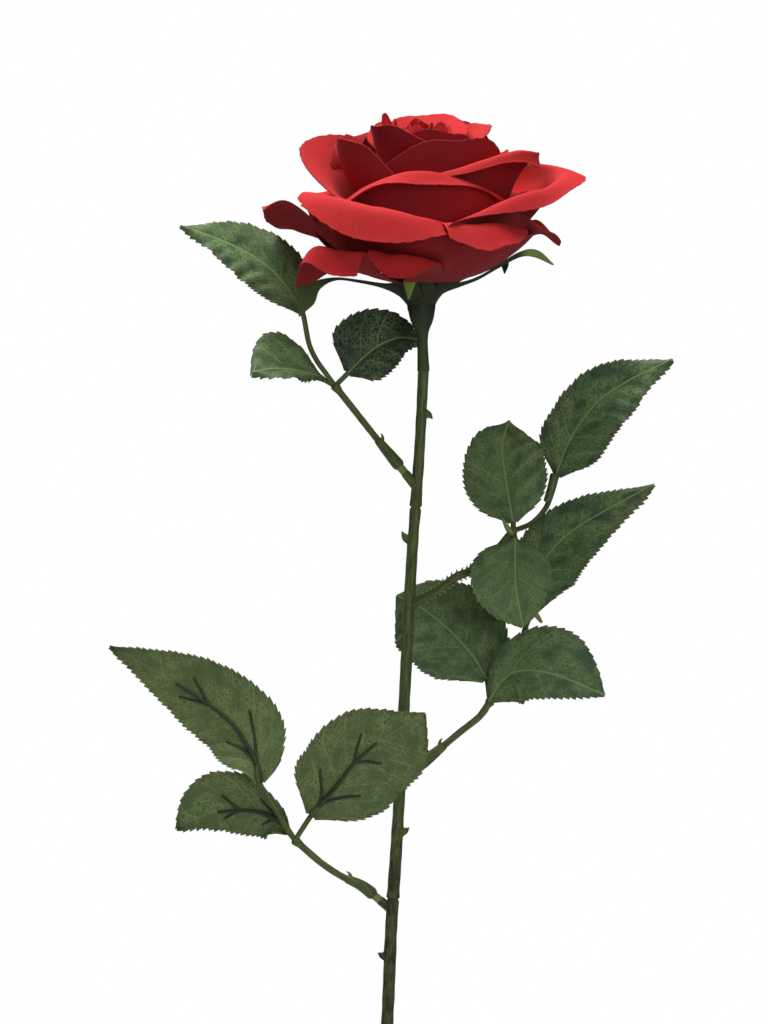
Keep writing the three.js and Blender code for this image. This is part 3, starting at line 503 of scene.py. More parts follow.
# rib is the middle line, face the way the upper side looks, left and right the half widths, fold the angle
# of each half in degrees, and tone how light the leaf is printed. a2's tone, far below the rest, is painted
# shade, where that leaf sits in shadow
leaves = {
    "a1": dict(rib=[(-16, 3.4, 425.3), (-24.3, 0, 427.4), (-32.6, -4, 428), (-40.3, -8, 426.8)],
               face=(0, -0.67, 0.74), left=8, right=15, fold=22, shape="late", tone=0.55),
    # a2's dark tone is painted shade, where the leaf sits in shadow
    "a2": dict(rib=[(-8, 5, 427), (0.2, 8, 434.9), (9.1, 11, 439.2), (18.4, 15, 438.4)],
               face=(0.2, -0.9, 0.3), left=14, right=10, fold=14, shape="early", tone=-0.7),
    "a3": dict(rib=[(-23.3, 4, 447.9), (-31.5, 7, 459.5), (-39.6, 7, 466.3), (-50.1, 5, 471.6),
                    (-64.8, 1, 477)], face=(0, -0.8, 0.6), left=11, right=12, fold=12, shape="long",
               tone=0.5),
    "b1": dict(rib=[(48.1, -2, 376.2), (45.6, 4, 392.1), (44.8, 8, 402.4), (47.2, 12, 411)],
               face=(-0.1, -0.95, 0.3), left=14, right=14, fold=10, shape="broad", leftShape="blunt",
               tone=0.7),
    "b2": dict(rib=[(63, 5, 391.8), (67.3, 2, 403.3), (75.6, -1, 415.5), (86, -3, 423.3), (101.7, -6, 431.3)],
               face=(-0.2, -0.9, 0.3), left=11, right=13, fold=14, shape="full", tone=0.4),
    "b3": dict(rib=[(48.7, -6, 370.6), (48.5, -10, 361.6), (48.7, -13, 353.3), (51, -15, 340.9)],
               face=(0, -0.9, 0.4), left=12, right=15, fold=12, shape="blunt", tone=0.85),
    "c1": dict(rib=[(39.4, 2, 322.6), (34.3, 5, 330.7), (26.6, 9, 339.1), (17.6, 12, 346.2),
                    (8.6, 14.5, 350.8)], face=(0.1, -0.95, 0.2), left=17, right=17, fold=8, shape="blunt",
               leftShape="broad", tone=0.65),
    "c2": dict(rib=[(39.9, -2, 315.3), (44.6, -5, 322.6), (50.2, -8, 325.8), (61.2, -11, 324.9),
                    (78.7, -12, 317.9)], face=(0, -0.9, 0.3), left=15.5, right=11, fold=12, shape="early",
               leftShape="late", tone=0.6),
    "c3": dict(rib=[(54.4, 4, 345.1), (57.8, 7, 360.4), (69.2, 6, 373.4), (96.1, 1, 389)],
               face=(-0.1, -0.9, 0.3), left=11, right=13, fold=10, shape="early", tone=0.45),
    "d1": dict(rib=[(-27.6, -4, 271), (-33.7, -1, 276.6), (-46.5, 3, 277.9), (-56.9, 6, 276),
                    (-66.6, 9, 271.3)], face=(0, 0.95, 0.3), left=14, right=9, fold=8, shape="early",
               leftShape="late", tone=0.55),
    "d2": dict(rib=[(-20.3, -10, 277.3), (-9.5, -15, 290.2), (-1.4, -18, 299.8), (18, -22, 312.4)],
               face=(0, 0.95, 0.2), left=18.5, right=15.5, fold=8, shape="full", leftShape="broad", tone=0.5),
    "d3": dict(rib=[(-37.5, -9, 288.1), (-39.2, -9, 296.5), (-46.4, -7, 307.5), (-61.1, -4, 318.5),
                    (-88.6, 1, 333.9)], face=(0, 0.95, 0.3), left=15, right=12, fold=8, shape="early",
               tone=0.8),
}


def halfWidth(leaf, along, across):
    # the half width on the side that across lies on
    left = leaf["left"] * valueAlong(leafShapes[leaf.get("leftShape", leaf["shape"])], along)
    right = leaf["right"] * valueAlong(leafShapes[leaf["shape"]], along)
    return np.where(across < 0, left, right)


def leafPlaces(leaf, along, across, off=0.0):
    # the place at a share of the length and a signed share of the half width, moved off the blade
    along, across = np.broadcast_arrays(np.asarray(along, float), np.asarray(across, float))
    look = leafLook
    t = evenShares(leaf["rib"], along)
    way = directionAlong(leaf["rib"], t)
    face = np.array(leaf["face"], float)
    face = unit(face - way * (way @ face)[..., None])
    side = np.cross(way, face)
    width = across * halfWidth(leaf, along, across)
    reach = np.abs(width)
    # the cloth swells between the side veins, and its edge waves
    run = along * lineLength(leaf["rib"])
    vein = (run - look["veinSlope"] * reach) / look["veinSpacing"]
    swell = look["quilt"] * np.cos(2 * math.pi * vein) * smooth(reach, 1.5, 6) * (1 - smooth(along, 0.8, 1))
    seed = int(leaf["left"] * 7 + leaf["right"] * 3)
    longRate, shortRate = look["ruffleRates"]
    edgeWave = ripple(run, seed, longRate) + 0.5 * ripple(run * np.sign(across), seed + 1, shortRate)
    swell = swell + look["ruffle"] * edgeWave * np.abs(across) ** 2.5 * smooth(along, 0, 0.15)
    fold = math.radians(leaf["fold"])
    lift = reach * math.sin(fold) - look["curl"] * across ** 2 + swell + off
    return lineThrough(leaf["rib"], t) + side * (width * math.cos(fold))[..., None] + face * lift[..., None]


def leafPart(leaf):
    look = leafLook
    length = lineLength(leaf["rib"])
    teeth = round(length / look["toothPitch"])
    along = np.linspace(0, 1, teeth * look["rowsPerTooth"] + 1)[:, None]
    across = np.linspace(-1, 1, look["columns"])[None, :]
    # saw teeth that point to the tip, and fade out at the stalk and at the tip
    tooth = (along * teeth) % 1
    tooth = np.where(tooth < look["toothPeak"], tooth / look["toothPeak"],
                     (1 - tooth) / (1 - look["toothPeak"]))
    tooth = tooth * smooth(along, 0.04, 0.12) * (1 - smooth(along, 0.93, 1))
    half = halfWidth(leaf, along, across)
    edge = np.abs(across) ** 5
    reach = 1 + edge * tooth * look["toothReach"] / np.maximum(half, 3)
    lean = along + edge * tooth * look["toothLean"] / length
    places = leafPlaces(leaf, np.minimum(lean, 1), across * reach)
    spots = np.stack(np.broadcast_arrays(across * half, along * length, half - np.abs(across * half)), -1)
    return clothPart(places, look["cloth"], spots)


def leafMaterial(name, mainHex, darkHex, veinHex, roughness, ribShare):
    # Polyester leaf cloth, printed and waxed: a dull satin face, with pale printed veins and net
    look = leafLook
    material, tree, shader = startMaterial(name, {"Roughness": roughness, "IOR": 1.45,
                                                  "Specular IOR Level": 0.28})
    spot = addNode(tree, "Attribute", attribute_name="spot")
    split = addNode(tree, "SeparateXYZ", links={0: spot.outputs["Vector"]})
    wobble = addNode(tree, "TexNoise", {"Scale": 1 / look["wobble"], "Detail": 2.0},
                     {"Vector": spot.outputs["Vector"]})
    reach = addNode(tree, "Math", links={0: split.outputs["X"]}, operation="ABSOLUTE")
    # side veins run forward as they run out. toVein is the distance to the nearest one, along the rib
    forward = addNode(tree, "Math", {1: -look["veinSlope"]}, {0: reach, 2: split.outputs["Y"]},
                      operation="MULTIPLY_ADD")
    shifted = addNode(tree, "Math", {1: 2.2}, {0: wobble, 2: forward}, operation="MULTIPLY_ADD")
    toVein = addNode(tree, "Math", {1: look["veinSpacing"] / 2}, {0: shifted}, operation="PINGPONG")
    sideVein = addNode(tree, "MapRange", {"From Min": 0.08, "From Max": 0.34, "To Min": 0.75, "To Max": 0.0},
                       {"Value": toVein})
    midrib = addNode(tree, "MapRange", {"From Min": 0.1, "From Max": 0.42, "To Min": ribShare, "To Max": 0.0},
                     {"Value": reach})
    flat = addNode(tree, "CombineXYZ", links={0: split.outputs["X"], 1: split.outputs["Y"]})
    bent = addNode(tree, "VectorMath", {1: (0.9, 0.9, 0)}, {0: wobble.outputs["Color"], 2: flat},
                   operation="MULTIPLY_ADD")
    # a fine net of veins, and a fainter one of larger cells
    nets = []
    for cell, width, strength in ((look["netCell"], 0.14, 0.5), (look["netCell"] * 2.3, 0.06, 0.3)):
        net = addNode(tree, "TexVoronoi", {"Scale": 1 / cell}, {"Vector": bent}, feature="DISTANCE_TO_EDGE")
        nets.append(addNode(tree, "MapRange", {"From Min": 0.02, "From Max": width, "To Min": strength,
                                               "To Max": 0.0}, {"Value": net}))
    veins = addNode(tree, "Math", links={0: nets[0], 1: nets[1]}, operation="MAXIMUM")
    veins = addNode(tree, "Math", links={0: veins, 1: sideVein}, operation="MAXIMUM")
    # the print is patchy, so the net comes and goes
    patch = addNode(tree, "TexNoise", {"Scale": 1 / look["printPatch"], "Detail": 3.0},
                    {"Vector": spot.outputs["Vector"]})
    printed = addNode(tree, "MapRange", {"From Min": 0.38, "From Max": 0.6, "To Min": 0.12, "To Max": 1.0},
                      {"Value": patch})
    veins = addNode(tree, "Math", links={0: veins, 1: printed}, operation="MULTIPLY")
    veins = addNode(tree, "Math", links={0: veins, 1: midrib}, operation="MAXIMUM")
    # each leaf has its own tone, darker in clouds. a2's tone is so low that it paints shade
    tone = addNode(tree, "Attribute", attribute_name="tone")
    light = addNode(tree, "Math", {1: 0.45}, {0: printed, 2: tone.outputs["Fac"]}, operation="MULTIPLY_ADD")
    light = addNode(tree, "Math", {1: 0.2}, {0: light}, operation="SUBTRACT", use_clamp=True)
    base = addNode(tree, "Mix", {6: toLinear(darkHex), 7: toLinear(mainHex)}, {0: light}, data_type="RGBA")
    veined = addNode(tree, "Mix", {7: toLinear(veinHex)}, {0: veins, 6: base.outputs[2]}, data_type="RGBA")
    # the outer 3 mm are scorched brown here and there
    margin = addNode(tree, "MapRange", {"From Min": 0.2, "From Max": 3.0, "To Min": 1.0, "To Max": 0.0},
                     {"Value": split.outputs["Z"]})
    scorch = addNode(tree, "MapRange", {"From Min": 0.5, "From Max": 0.66, "To Max": 0.55}, {"Value": patch})
    scorched = addNode(tree, "Math", links={0: margin, 1: scorch}, operation="MULTIPLY")
    colour = addNode(tree, "Mix", {7: toLinear(look["scorch"])}, {0: scorched, 6: veined.outputs[2]},
                     data_type="RGBA")
    bump = addNode(tree, "Bump", {"Strength": 0.5, "Distance": look["veinRelief"] * metre}, {"Height": veins})
    rough = addNode(tree, "MapRange", {"To Min": roughness - 0.08, "To Max": roughness + 0.12},
                    {"Value": patch})
    linkInputs(tree, shader, {"Base Color": colour.outputs[2], "Normal": bump, "Roughness": rough})
    return material


def makeLeaves():
    look = leafLook
    upper = leafMaterial("waxedLeafUpper", look["upper"], look["upperDark"], look["upperVein"], 0.5, 0.9)
    under = leafMaterial("waxedLeafUnder", look["under"], look["underDark"], look["underVein"], 0.62, 0.3)
    for name, leaf in leaves.items():
        blade = addPiece("leafBlade_" + name, [leafPart(leaf)], [upper, under], "leaf_" + name)
        # each leaf's tone; for a2 it is painted shade
        tone = blade.data.attributes.new("tone", "FLOAT", "POINT")
        tone.data.foreach_set("value", np.full(len(blade.data.vertices), leaf["tone"], np.float32))
    print("leaves made:", len(leaves))


stalkLook = {
    "stalkRadius": 1.15,
    "unevenness": 0.025,
    "nodeSwell": 0.45,
    "branchRadius": 0.95,
    "ribRadius": 0.42,
    # shares of a leaf's length that its main rib passes, and about its radius there
    "ribStations": ((0, 0.9), (0.08, 0.9), (0.28, 0.8), (0.45, 0.6), (0.64, 0.35)),
    "forkRadius": 0.55,
    "forkTip": 0.33,
    "sleeveRadius": 2.15,
    "sleeveTip": 1.45,
    "sleeveShares": (0.09, 0.38),  # where the sleeve begins and ends along the stalk
    "sleeveThorn": ((0, 0), (1.3, 1.1), (1.7, 2.6)),  # mm outwards and forward from its root
    "sleeveThornRadius": 0.8,
    "neckRadius": 1.4,
    "combTeeth": 17,  # fine teeth on each side of a comb-edged stalk
    "combShares": (0.04, 0.78),
    "combReach": 0.85,
    "combLean": 0.8,
    "combSwell": 1.22,  # how much thicker a comb-edged stalk is
    "sides": 18,
    "olive": "#67763a",
    "oliveDark": "#3f4d28",
    "bark": "#30241a",
    "pale": "#93a35f",
    "paleDark": "#647843",
    "ribGreen": "#3b4a30",
    "ribDark": "#2a3624",
    "drawLine": 0.9,  # mm across the fine lines that the mould leaves
    "barkBlotch": 3.2,
    "barkHeights": (262, 285),  # the stem's extra brown fades out from the first height to the second
}
greenSlot, ribSlot, paleSlot = range(3)  # the materials of a spray

sprays = {
    "a": dict(stalk=[(11.6, 0.3, 392.6), (8.4, 1, 396.5), (1.9, 2, 404.4), (-5.6, 3, 413.9),
                     (-12.4, 4, 422.5)],
              branches=dict(a1=[], a2=[], a3=[(-15.6, 1.5, 426.8), (-18.8, 0, 431.4), (-21.3, 1, 437.1)])),
    "b": dict(stalk=[(16.8, -1.5, 349.7), (22.6, -5, 353.1), (28.7, -6, 357.5), (34.1, -6, 359.9),
                     (41.9, -5, 366), (48.1, -3, 373.1)], comb=True,
              # loose ends of the moulding: a blunt stub, a flap by the node and the tip of a bare rib
              ends=[([(62.4, 4.5, 392), (61.4, 4, 387.6), (60, 3.5, 383.3)], 1.5, 1.35, greenSlot),
                    ([(48.2, -3.6, 371.6), (46.2, -4, 374), (44.4, -4, 377.4)], 1.1, 0.3, paleSlot),
                    ([(52.6, -5, 348.6), (55.2, -6, 345.4), (57.6, -6, 342.2)], 1.25, 0.5, paleSlot)],
              branches=dict(b1=[], b2=[(54.6, 5, 375.6), (59.4, 9.5, 380.4), (61.6, 8.5, 385.6)], b3=[])),
    "c": dict(stalk=[(13.8, 0, 292), (18.2, 0, 294.8), (29.8, 1, 304.3), (37, 1, 310.1), (40.3, 0, 314.9)],
              branches=dict(c1=[], c2=[], c3=[(45.6, 5, 323.5), (51.1, 6, 330.6), (52.1, 5, 338.6)])),
    "d": dict(stalk=[(2.9, -0.4, 247.6), (-3.2, -2, 252.6), (-10.3, -4, 256.2), (-17.7, -5, 261.3),
                     (-25.8, -6, 268.5)],
              branches=dict(d1=[], d2=[], d3=[(-30.5, -8, 276.2), (-34.8, -9, 283.3)])),
}
# side ribs under a leaf: where each leaves the main rib, where it ends, and how far out
forks = [(0.1, 0.27, 0.5), (0.1, 0.3, -0.5), (0.45, 0.6, 0.38), (0.45, 0.58, -0.38)]


def sprayParts(spray):
    look = stalkLook
    stalk = spray["stalk"]
    comb = spray.get("comb", False)
    size = look["stalkRadius"] * (look["combSwell"] if comb else 1)

    def radiusAt(share):
        return size * (1 + look["unevenness"] * math.sin(50 * share) * math.sin(17 * share))

    def radiusToNode(share):
        return look["stalkRadius"] * (1 + look["nodeSwell"] * smooth(share, 0.7, 1))

    parts = [rodPart(stalk, radiusAt, 90, look["sides"])]
    parts += combParts(stalk) if comb else sleeveParts(stalk)
    parts += [rodPart(path, taper(thick, thin, 2), 14, 12, slot)
              for path, thick, thin, slot in spray.get("ends", ())]
    parts.append(rodPart(stalk[-2:], radiusToNode, 24, look["sides"]))
    for name, path in spray["branches"].items():
        parts += branchParts(stalk[-1], path, leaves[name])
    return parts


def sleeveParts(stalk):
    # a sleeve, fattest low down, whose lip stands clear of the stalk and ends in a short thorn
    look = stalkLook
    low, high = look["sleeveShares"]
    covered = lineThrough(stalk, evenShares(stalk, np.linspace(low, high, 6)))
    slope = taper(look["sleeveRadius"], look["sleeveTip"], 1.3)
    sleeve = rodPart(covered, lambda s: slope(s) - 0.2 * (1 - smooth(s, 0, 0.06)), 40, look["sides"])
    up = np.array([0, 0, 1.0])
    way = unit(covered[-1] - covered[-2])
    out = unit(up - way * (up @ way))
    root = covered[-1] + out * 0.6 - way * 1.2
    thorn = rodPart([root + out * outwards + way * forward for outwards, forward in look["sleeveThorn"]],
                    lambda s: look["sleeveThornRadius"] * (1 - s) ** 0.8 + 0.06, 10, 10)
    # the unpainted neck between the sleeve and the stem
    bare = lineThrough(stalk, evenShares(stalk, np.linspace(0, low, 3)))
    return [sleeve, thorn, rodPart(bare, look["neckRadius"], 8, look["sides"], paleSlot)]


def combParts(stalk):
    # the lower part of the stalk carries a row of fine teeth on each side
    look = stalkLook
    low, high = look["combShares"]
    surface = look["combSwell"] * look["stalkRadius"]
    teeth = []
    for share in np.linspace(low, high, look["combTeeth"], endpoint=False):
        t = evenShares(stalk, share)
        place, way = lineThrough(stalk, t), directionAlong(stalk, t)
        out = unit(np.cross(way, (0, -1, 0)))
        for side in (-1, 1):
            root = place + out * side * look["stalkRadius"] * 0.7
            tip = place + out * side * (surface + look["combReach"]) + way * look["combLean"]
            teeth.append(rodPart([root, tip], taper(0.6, 0.1), 4, 8, paleSlot))
    return teeth


def branchParts(node, path, leaf):
    # a short branch from the node, which runs on under the leaf as its ribs
    look = stalkLook

    def under(along, across, radius):
        return tuple(leafPlaces(leaf, along, across, -(leafLook["cloth"] / 2 + 0.75 * radius)))

    rib = [under(share, 0, radius) for share, radius in look["ribStations"]]
    parts = [rodPart([node, *path, *rib[:2]], look["branchRadius"] * 0.97, 40, 10),
             rodPart(rib, taper(look["branchRadius"], look["ribRadius"]), 50, 10, ribSlot)]
    for start, end, across in forks:
        side = [under(start, 0, 0.5), under((start + end) / 2, across * 0.45, 0.5), under(end, across, 0.35)]
        parts.append(rodPart(side, taper(look["forkRadius"], look["forkTip"]), 12, 8, ribSlot))
    return parts


def plasticMaterial(name, mainHex, darkHex, barkShare, roughness=0.55, barkLow=0.0):
    # Polyethylene moulded over wire, tinted in the mass and brushed with brown: waxy, a little
    # translucent to the eye, with lengthwise draw lines
    look = stalkLook
    material, tree, shader = startMaterial(name, {"Roughness": roughness, "IOR": 1.5})
    coordinates = addNode(tree, "TexCoord")
    place = addNode(tree, "VectorMath", {3: 1 / metre}, {0: coordinates.outputs["Object"]},
                    operation="SCALE")  # in mm
    spot = addNode(tree, "Attribute", attribute_name="spot")
    stretch = addNode(tree, "VectorMath", {1: (1.0, 0.12, 1.0)}, {0: spot.outputs["Vector"]},
                      operation="MULTIPLY")
    streak = addNode(tree, "TexNoise", {"Scale": 1 / look["drawLine"], "Detail": 4.0}, {"Vector": stretch})
    blotch = addNode(tree, "TexNoise", {"Scale": 1 / look["barkBlotch"], "Detail": 5.0, "Roughness": 0.72},
                     {"Vector": place})
    tone = addNode(tree, "MapRange", {"From Min": 0.35, "From Max": 0.65}, {"Value": streak})
    green = addNode(tree, "Mix", {6: toLinear(darkHex), 7: toLinear(mainHex)}, {0: tone}, data_type="RGBA")
    # low on the stem the brown takes over
    height = addNode(tree, "SeparateXYZ", links={0: place})
    lowest, highest = look["barkHeights"]
    low = addNode(tree, "MapRange", {"From Min": lowest, "From Max": highest, "To Min": barkLow,
                                     "To Max": 0.0}, {"Value": height.outputs["Z"]})
    fleck = addNode(tree, "Math", {1: 0.55}, {0: streak, 2: low}, operation="MULTIPLY_ADD")
    cover = addNode(tree, "Math", {1: 0.5}, {0: blotch, 2: fleck}, operation="MULTIPLY_ADD")
    barkFrom = 0.68 - 0.3 * barkShare
    bark = addNode(tree, "MapRange", {"From Min": barkFrom, "From Max": barkFrom + 0.08, "To Max": 0.9},
                   {"Value": cover})
    colour = addNode(tree, "Mix", {7: toLinear(look["bark"])}, {0: bark, 6: green.outputs[2]},
                     data_type="RGBA")
    relief = addNode(tree, "Math", links={0: streak, 1: bark}, operation="ADD")
    bump = addNode(tree, "Bump", {"Strength": 0.4, "Distance": 0.15 * metre}, {"Height": relief})
    rough = addNode(tree, "MapRange", {"To Min": roughness - 0.1, "To Max": roughness + 0.15},
                    {"Value": blotch})
    linkInputs(tree, shader, {"Base Color": colour.outputs[2], "Normal": bump, "Roughness": rough})
    return material


def makeStalks():
    look = stalkLook
    plastic = plasticMaterial("mouldedStalk", look["olive"], look["oliveDark"], 0.1)
    ribs = plasticMaterial("mouldedRib", look["ribGreen"], look["ribDark"], 0.1, 0.6)
    pale = plasticMaterial("mouldedPale", look["pale"], look["paleDark"], 0.1)
    for name, spray in sprays.items():
        addPiece("spray_" + name, sprayParts(spray), [plastic, ribs, pale], "stalk_" + name)
    print("leaf sprays made:", len(sprays))


stemLook = {
    "route": [(-5.4, 0, 6.3), (-0.6, 0, 96), (5.1, 0, 200), (6.8, 0, 239), (8.9, 0, 272), (11.4, 0, 319),
              (13.7, 0, 363), (15.1, 0, 382), (16.5, 0, 403), (17.7, 0, 427.4)],
    "footRadius": 2.4,
    "topRadius": 1.8,
    "unevenness": 0.03,
    "rings": (248.3, 291.8, 339, 381.5),  # heights of the moulded joints
    "ringReach": 0.4,  # of the flare over each joint, and the height it fades out over
    "ringFade": 2.2,
    "shoulderReach": 0.2,
    "shoulderFade": 2.5,
    "grooveDepth": 0.5,
    "sides": 24,
    "steps": 1000,
    "pegRadius": 1.6,
    "pegLength": 5.6,
    "thornReach": 2,
    "thornSink": 0.9,  # how far its root lies inside the stem
    "thornRoot": 1.33,
    "thornTip": 0.08,
    "thornHeight": 1.7,  # how much taller than wide a thorn's root is
    "barkShare": 0.2,
    "barkLow": 0.13,  # extra brown low on the stem
}
# height, side, and how far the tip stands above or below the middle of its root
thorns = [(412.8, 1, -1.6), (370.3, -1, 2.6), (270.9, 1, 1.3), (228.6, -1, 1.1)]


def stemRadius(share):
    return stemLook["footRadius"] + share * (stemLook["topRadius"] - stemLook["footRadius"])


def thornPart(height, side, hook):
    look = stemLook
    t = np.linspace(0, 1, 400)
    heights = lineThrough(look["route"], t)[:, 2]
    middle = lineThrough(look["route"], np.interp(height, heights, t))
    radius = stemRadius((height - heights[0]) / (heights[-1] - heights[0]))
    root = middle + np.array([side * (radius - look["thornSink"]), 0, 0])
    tip = middle + np.array([side * (radius + look["thornReach"]), 0, hook])
    bend = (root + tip) / 2 + np.array([side * 0.2, 0, -0.25 * hook])
    return rodPart([root, bend, tip], taper(look["thornRoot"], look["thornTip"]), 14, 12,
                   squash=look["thornHeight"])


def makeStem():
    look = stemLook
    plastic = plasticMaterial("mouldedStem", stalkLook["olive"], stalkLook["oliveDark"], look["barkShare"],
                              barkLow=look["barkLow"])
    low, high = look["route"][0][2], look["route"][-1][2]

    def radiusAt(share):
        height = low + share * (high - low)
        uneven = math.sin(height / 3.1) * math.sin(height / 7.7) + 2 / 3 * math.sin(height / 1.3)
        size = stemRadius(share) * (1 + look["unevenness"] * uneven)
        for ring in look["rings"]:
            # the upper length flares out over a groove, and the lower one starts with a rounded shoulder
            gap = height - ring
            if gap > 0:
                size += look["ringReach"] * math.exp(-gap / look["ringFade"])
            else:
                size += look["shoulderReach"] * math.exp(gap / look["shoulderFade"])
            size -= look["grooveDepth"] * math.exp(-(gap + 0.4) ** 2 * 5)
        return size

    parts = [rodPart(look["route"], radiusAt, look["steps"], look["sides"])]
    parts += [thornPart(*thorn) for thorn in thorns]
    for spray in sprays.values():
        start = np.array(spray["stalk"][0])
        way = directionAlong(spray["stalk"], 0)
        peg = [start - way * look["pegLength"], start - way * 0.1]
        parts.append(rodPart(peg, taper(1.08 * look["pegRadius"], 0.96 * look["pegRadius"]), 12, 16))
    addPiece("stemRod", parts, [plastic], "stem")
    print("stem made")


calyxLook = {
    "route": [(17.7, 0, 427.7), (17.3, 0, 440), (17, 0, 451)],
    "radii": (2.1, 1.95, 1.85, 1.85, 2.35, 3.75, 4.5, 4.7),
    "bulbSteps": 60,
    "bulbSides": 28,
    "cupSteps": 40,
    "cupSides": 32,
    "cup": [(axisGap, -6), (4.3, -6), (4.9, -3.6), (6.2, -1), (7.6, 1.4), (8.9, 3.7), (9.5, 5.6), (8.9, 6),
            (8, 4.4), (6.6, 1.8), (5.6, -0.3), (axisGap, -0.3)],  # in the bloom's frame
    "dark": "#2f381e",
    "darker": "#1f2616",
    "neck": "#465430",  # where the moulding thins towards the stem
    "neckHeights": (434, 449),  # the neck's green fades out from the first height to the second
    "tip": "#7f9f48",
    "cloud": 2.5,
    "sepalThickness": 0.55,
    "sepalRows": 48,
    "sepalColumns": 9,
    "sepalCup": 0.2,  # how far a sepal's edges turn up, as a share of its half width
}
# route is each sepal's middle line, widths its half width along it, faces the way its upper side looks
# at the root and at the tip, and pale the share where its green lightens and by how much
sepals = [
    dict(route=[(15.5, -3, 450.2), (14.2, -8.4, 452.2), (13.3, -12.7, 455.2), (13, -15.4, 457.8),
                (12.9, -16.8, 457), (12.6, -16.4, 450.8)],
         widths=(2.5, 3, 2.8, 2.4, 2.2, 0.15), faces=((0, 0.5, 0.9), (0, 1, 0.1)), pale=(0.55, 1)),
    dict(route=[(17.5, -7.8, 453), (17.9, -11, 455.8), (18.2, -12.6, 459)],
         widths=(4.6, 3.4, 0.2), faces=((0, 0.8, 0.5), (0, 1, 0.3)), pale=(2, 0)),
    dict(route=[(19.5, -2.5, 450.5), (23.3, -8, 454.8), (30, -9, 456.3), (36, -9.5, 458.4),
                (42.7, -10, 462.2), (50, -10.5, 466.2), (55.5, -10.5, 466.4), (61.4, -11, 462.8)],
         widths=(2.3, 2.2, 0.8, 0.5, 0.5, 0.9, 1.5, 0.15), faces=((-0.2, 0.9, 0.5), (0.3, 0.9, 0.8)),
         pale=(0.74, 1)),
    dict(route=[(19, 1.5, 450.5), (25, 3.5, 455.5), (33, 3.8, 459.8), (39, 3, 462.6), (43, 2.5, 465.2),
                (45.3, 1.6, 464.2), (45.4, 1.2, 460.6)],
         widths=(2.5, 2.5, 1, 0.8, 1, 1.5, 0.15), faces=((-0.2, 0.1, 1), (0.3, 0.9, 0.2)), pale=(2, 0)),
    dict(route=[(15.5, 2.5, 450.5), (13.5, 9, 454.8), (10, 16, 460), (5, 25, 466), (2, 32, 468.5)],
         widths=(2.5, 2.5, 1, 0.8, 0.15), faces=((0, 0.2, 1), (0, 0.2, 1)), pale=(0.8, 0.6)),
    dict(route=[(14.5, -2, 450.3), (10.5, -7, 454.3), (4, -8, 455.9), (-4, -8.3, 457.4), (-12, -8.8, 458.2),
                (-18.4, -9.4, 455.8), (-22, -9.8, 451), (-24.2, -9.8, 445.4)],
         widths=(2.5, 2.6, 0.9, 0.5, 0.5, 1.6, 3, 0.15), faces=((0.2, 0.9, 0.5), (0.5, 1, 0.3)),
         pale=(0.66, 0.3)),
]


def sepalPart(sepal):
    look = calyxLook
    across, up = np.meshgrid(np.linspace(-1, 1, look["sepalColumns"]), np.linspace(0, 1, look["sepalRows"]))
    way = directionAlong(sepal["route"], up)
    turn = smooth(up, 0.5, 0.8)[..., None]
    facing = np.array(sepal["faces"][0]) * (1 - turn) + np.array(sepal["faces"][1]) * turn
    side = unit(np.cross(way, facing))
    width = across * valueAlong(sepal["widths"], up)
    cupped = look["sepalCup"] * np.abs(width * across)
    paleFrom, paleBy = sepal["pale"]
    places = lineThrough(sepal["route"], up) + side * width[..., None]
    places = places + np.cross(side, way) * cupped[..., None]
    spots = np.stack([width, up * 40, paleBy * smooth(up, paleFrom - 0.05, paleFrom + 0.07)], -1)
    return clothPart(places, look["sepalThickness"], spots, (0, 0))


def calyxMaterial():
    # Polyethylene, moulded very dark green: waxy, with sepal tips left light green
    look = calyxLook
    material, tree, shader = startMaterial("mouldedCalyx", {"Roughness": 0.62, "IOR": 1.45})
    spot = addNode(tree, "Attribute", attribute_name="spot")
    paleShare = addNode(tree, "SeparateXYZ", links={0: spot.outputs["Vector"]})
    coordinates = addNode(tree, "TexCoord")
    place = addNode(tree, "VectorMath", {3: 1 / metre}, {0: coordinates.outputs["Object"]},
                    operation="SCALE")  # in mm
    cloud = addNode(tree, "TexNoise", {"Scale": 1 / look["cloud"], "Detail": 4.0}, {"Vector": place})
    body = addNode(tree, "Mix", {6: toLinear(look["darker"]), 7: toLinear(look["dark"])}, {0: cloud},
                   data_type="RGBA")
    height = addNode(tree, "SeparateXYZ", links={0: place})
    lowest, highest = look["neckHeights"]
    neck = addNode(tree, "MapRange", {"From Min": lowest, "From Max": highest, "To Min": 1.0, "To Max": 0.0},
                   {"Value": height.outputs["Z"]})
    body = addNode(tree, "Mix", {7: toLinear(look["neck"])}, {0: neck, 6: body.outputs[2]},
                   data_type="RGBA")
    colour = addNode(tree, "Mix", {7: toLinear(look["tip"])},
                     {0: paleShare.outputs["Z"], 6: body.outputs[2]}, data_type="RGBA")
    bump = addNode(tree, "Bump", {"Strength": 0.35, "Distance": 0.15 * metre}, {"Height": cloud})
    linkInputs(tree, shader, {"Base Color": colour.outputs[2], "Normal": bump})
    return material


def makeCalyx():
    look = calyxLook
    bulb = rodPart(look["route"], lambda s: float(valueAlong(look["radii"], s)), look["bulbSteps"],
                   look["bulbSides"])
    cup = turnedPart(lineThrough(look["cup"], np.linspace(0, 1, look["cupSteps"])), look["cupSides"])
    cup["places"] = inBloomFrame(cup["places"])
    for body in (bulb, cup):
        body["spots"][:, 2] = 0  # only the sepals have pale tips
    addPiece("calyxCup", [bulb, cup, *map(sepalPart, sepals)], [calyxMaterial()], "calyx")
    print("calyx made")


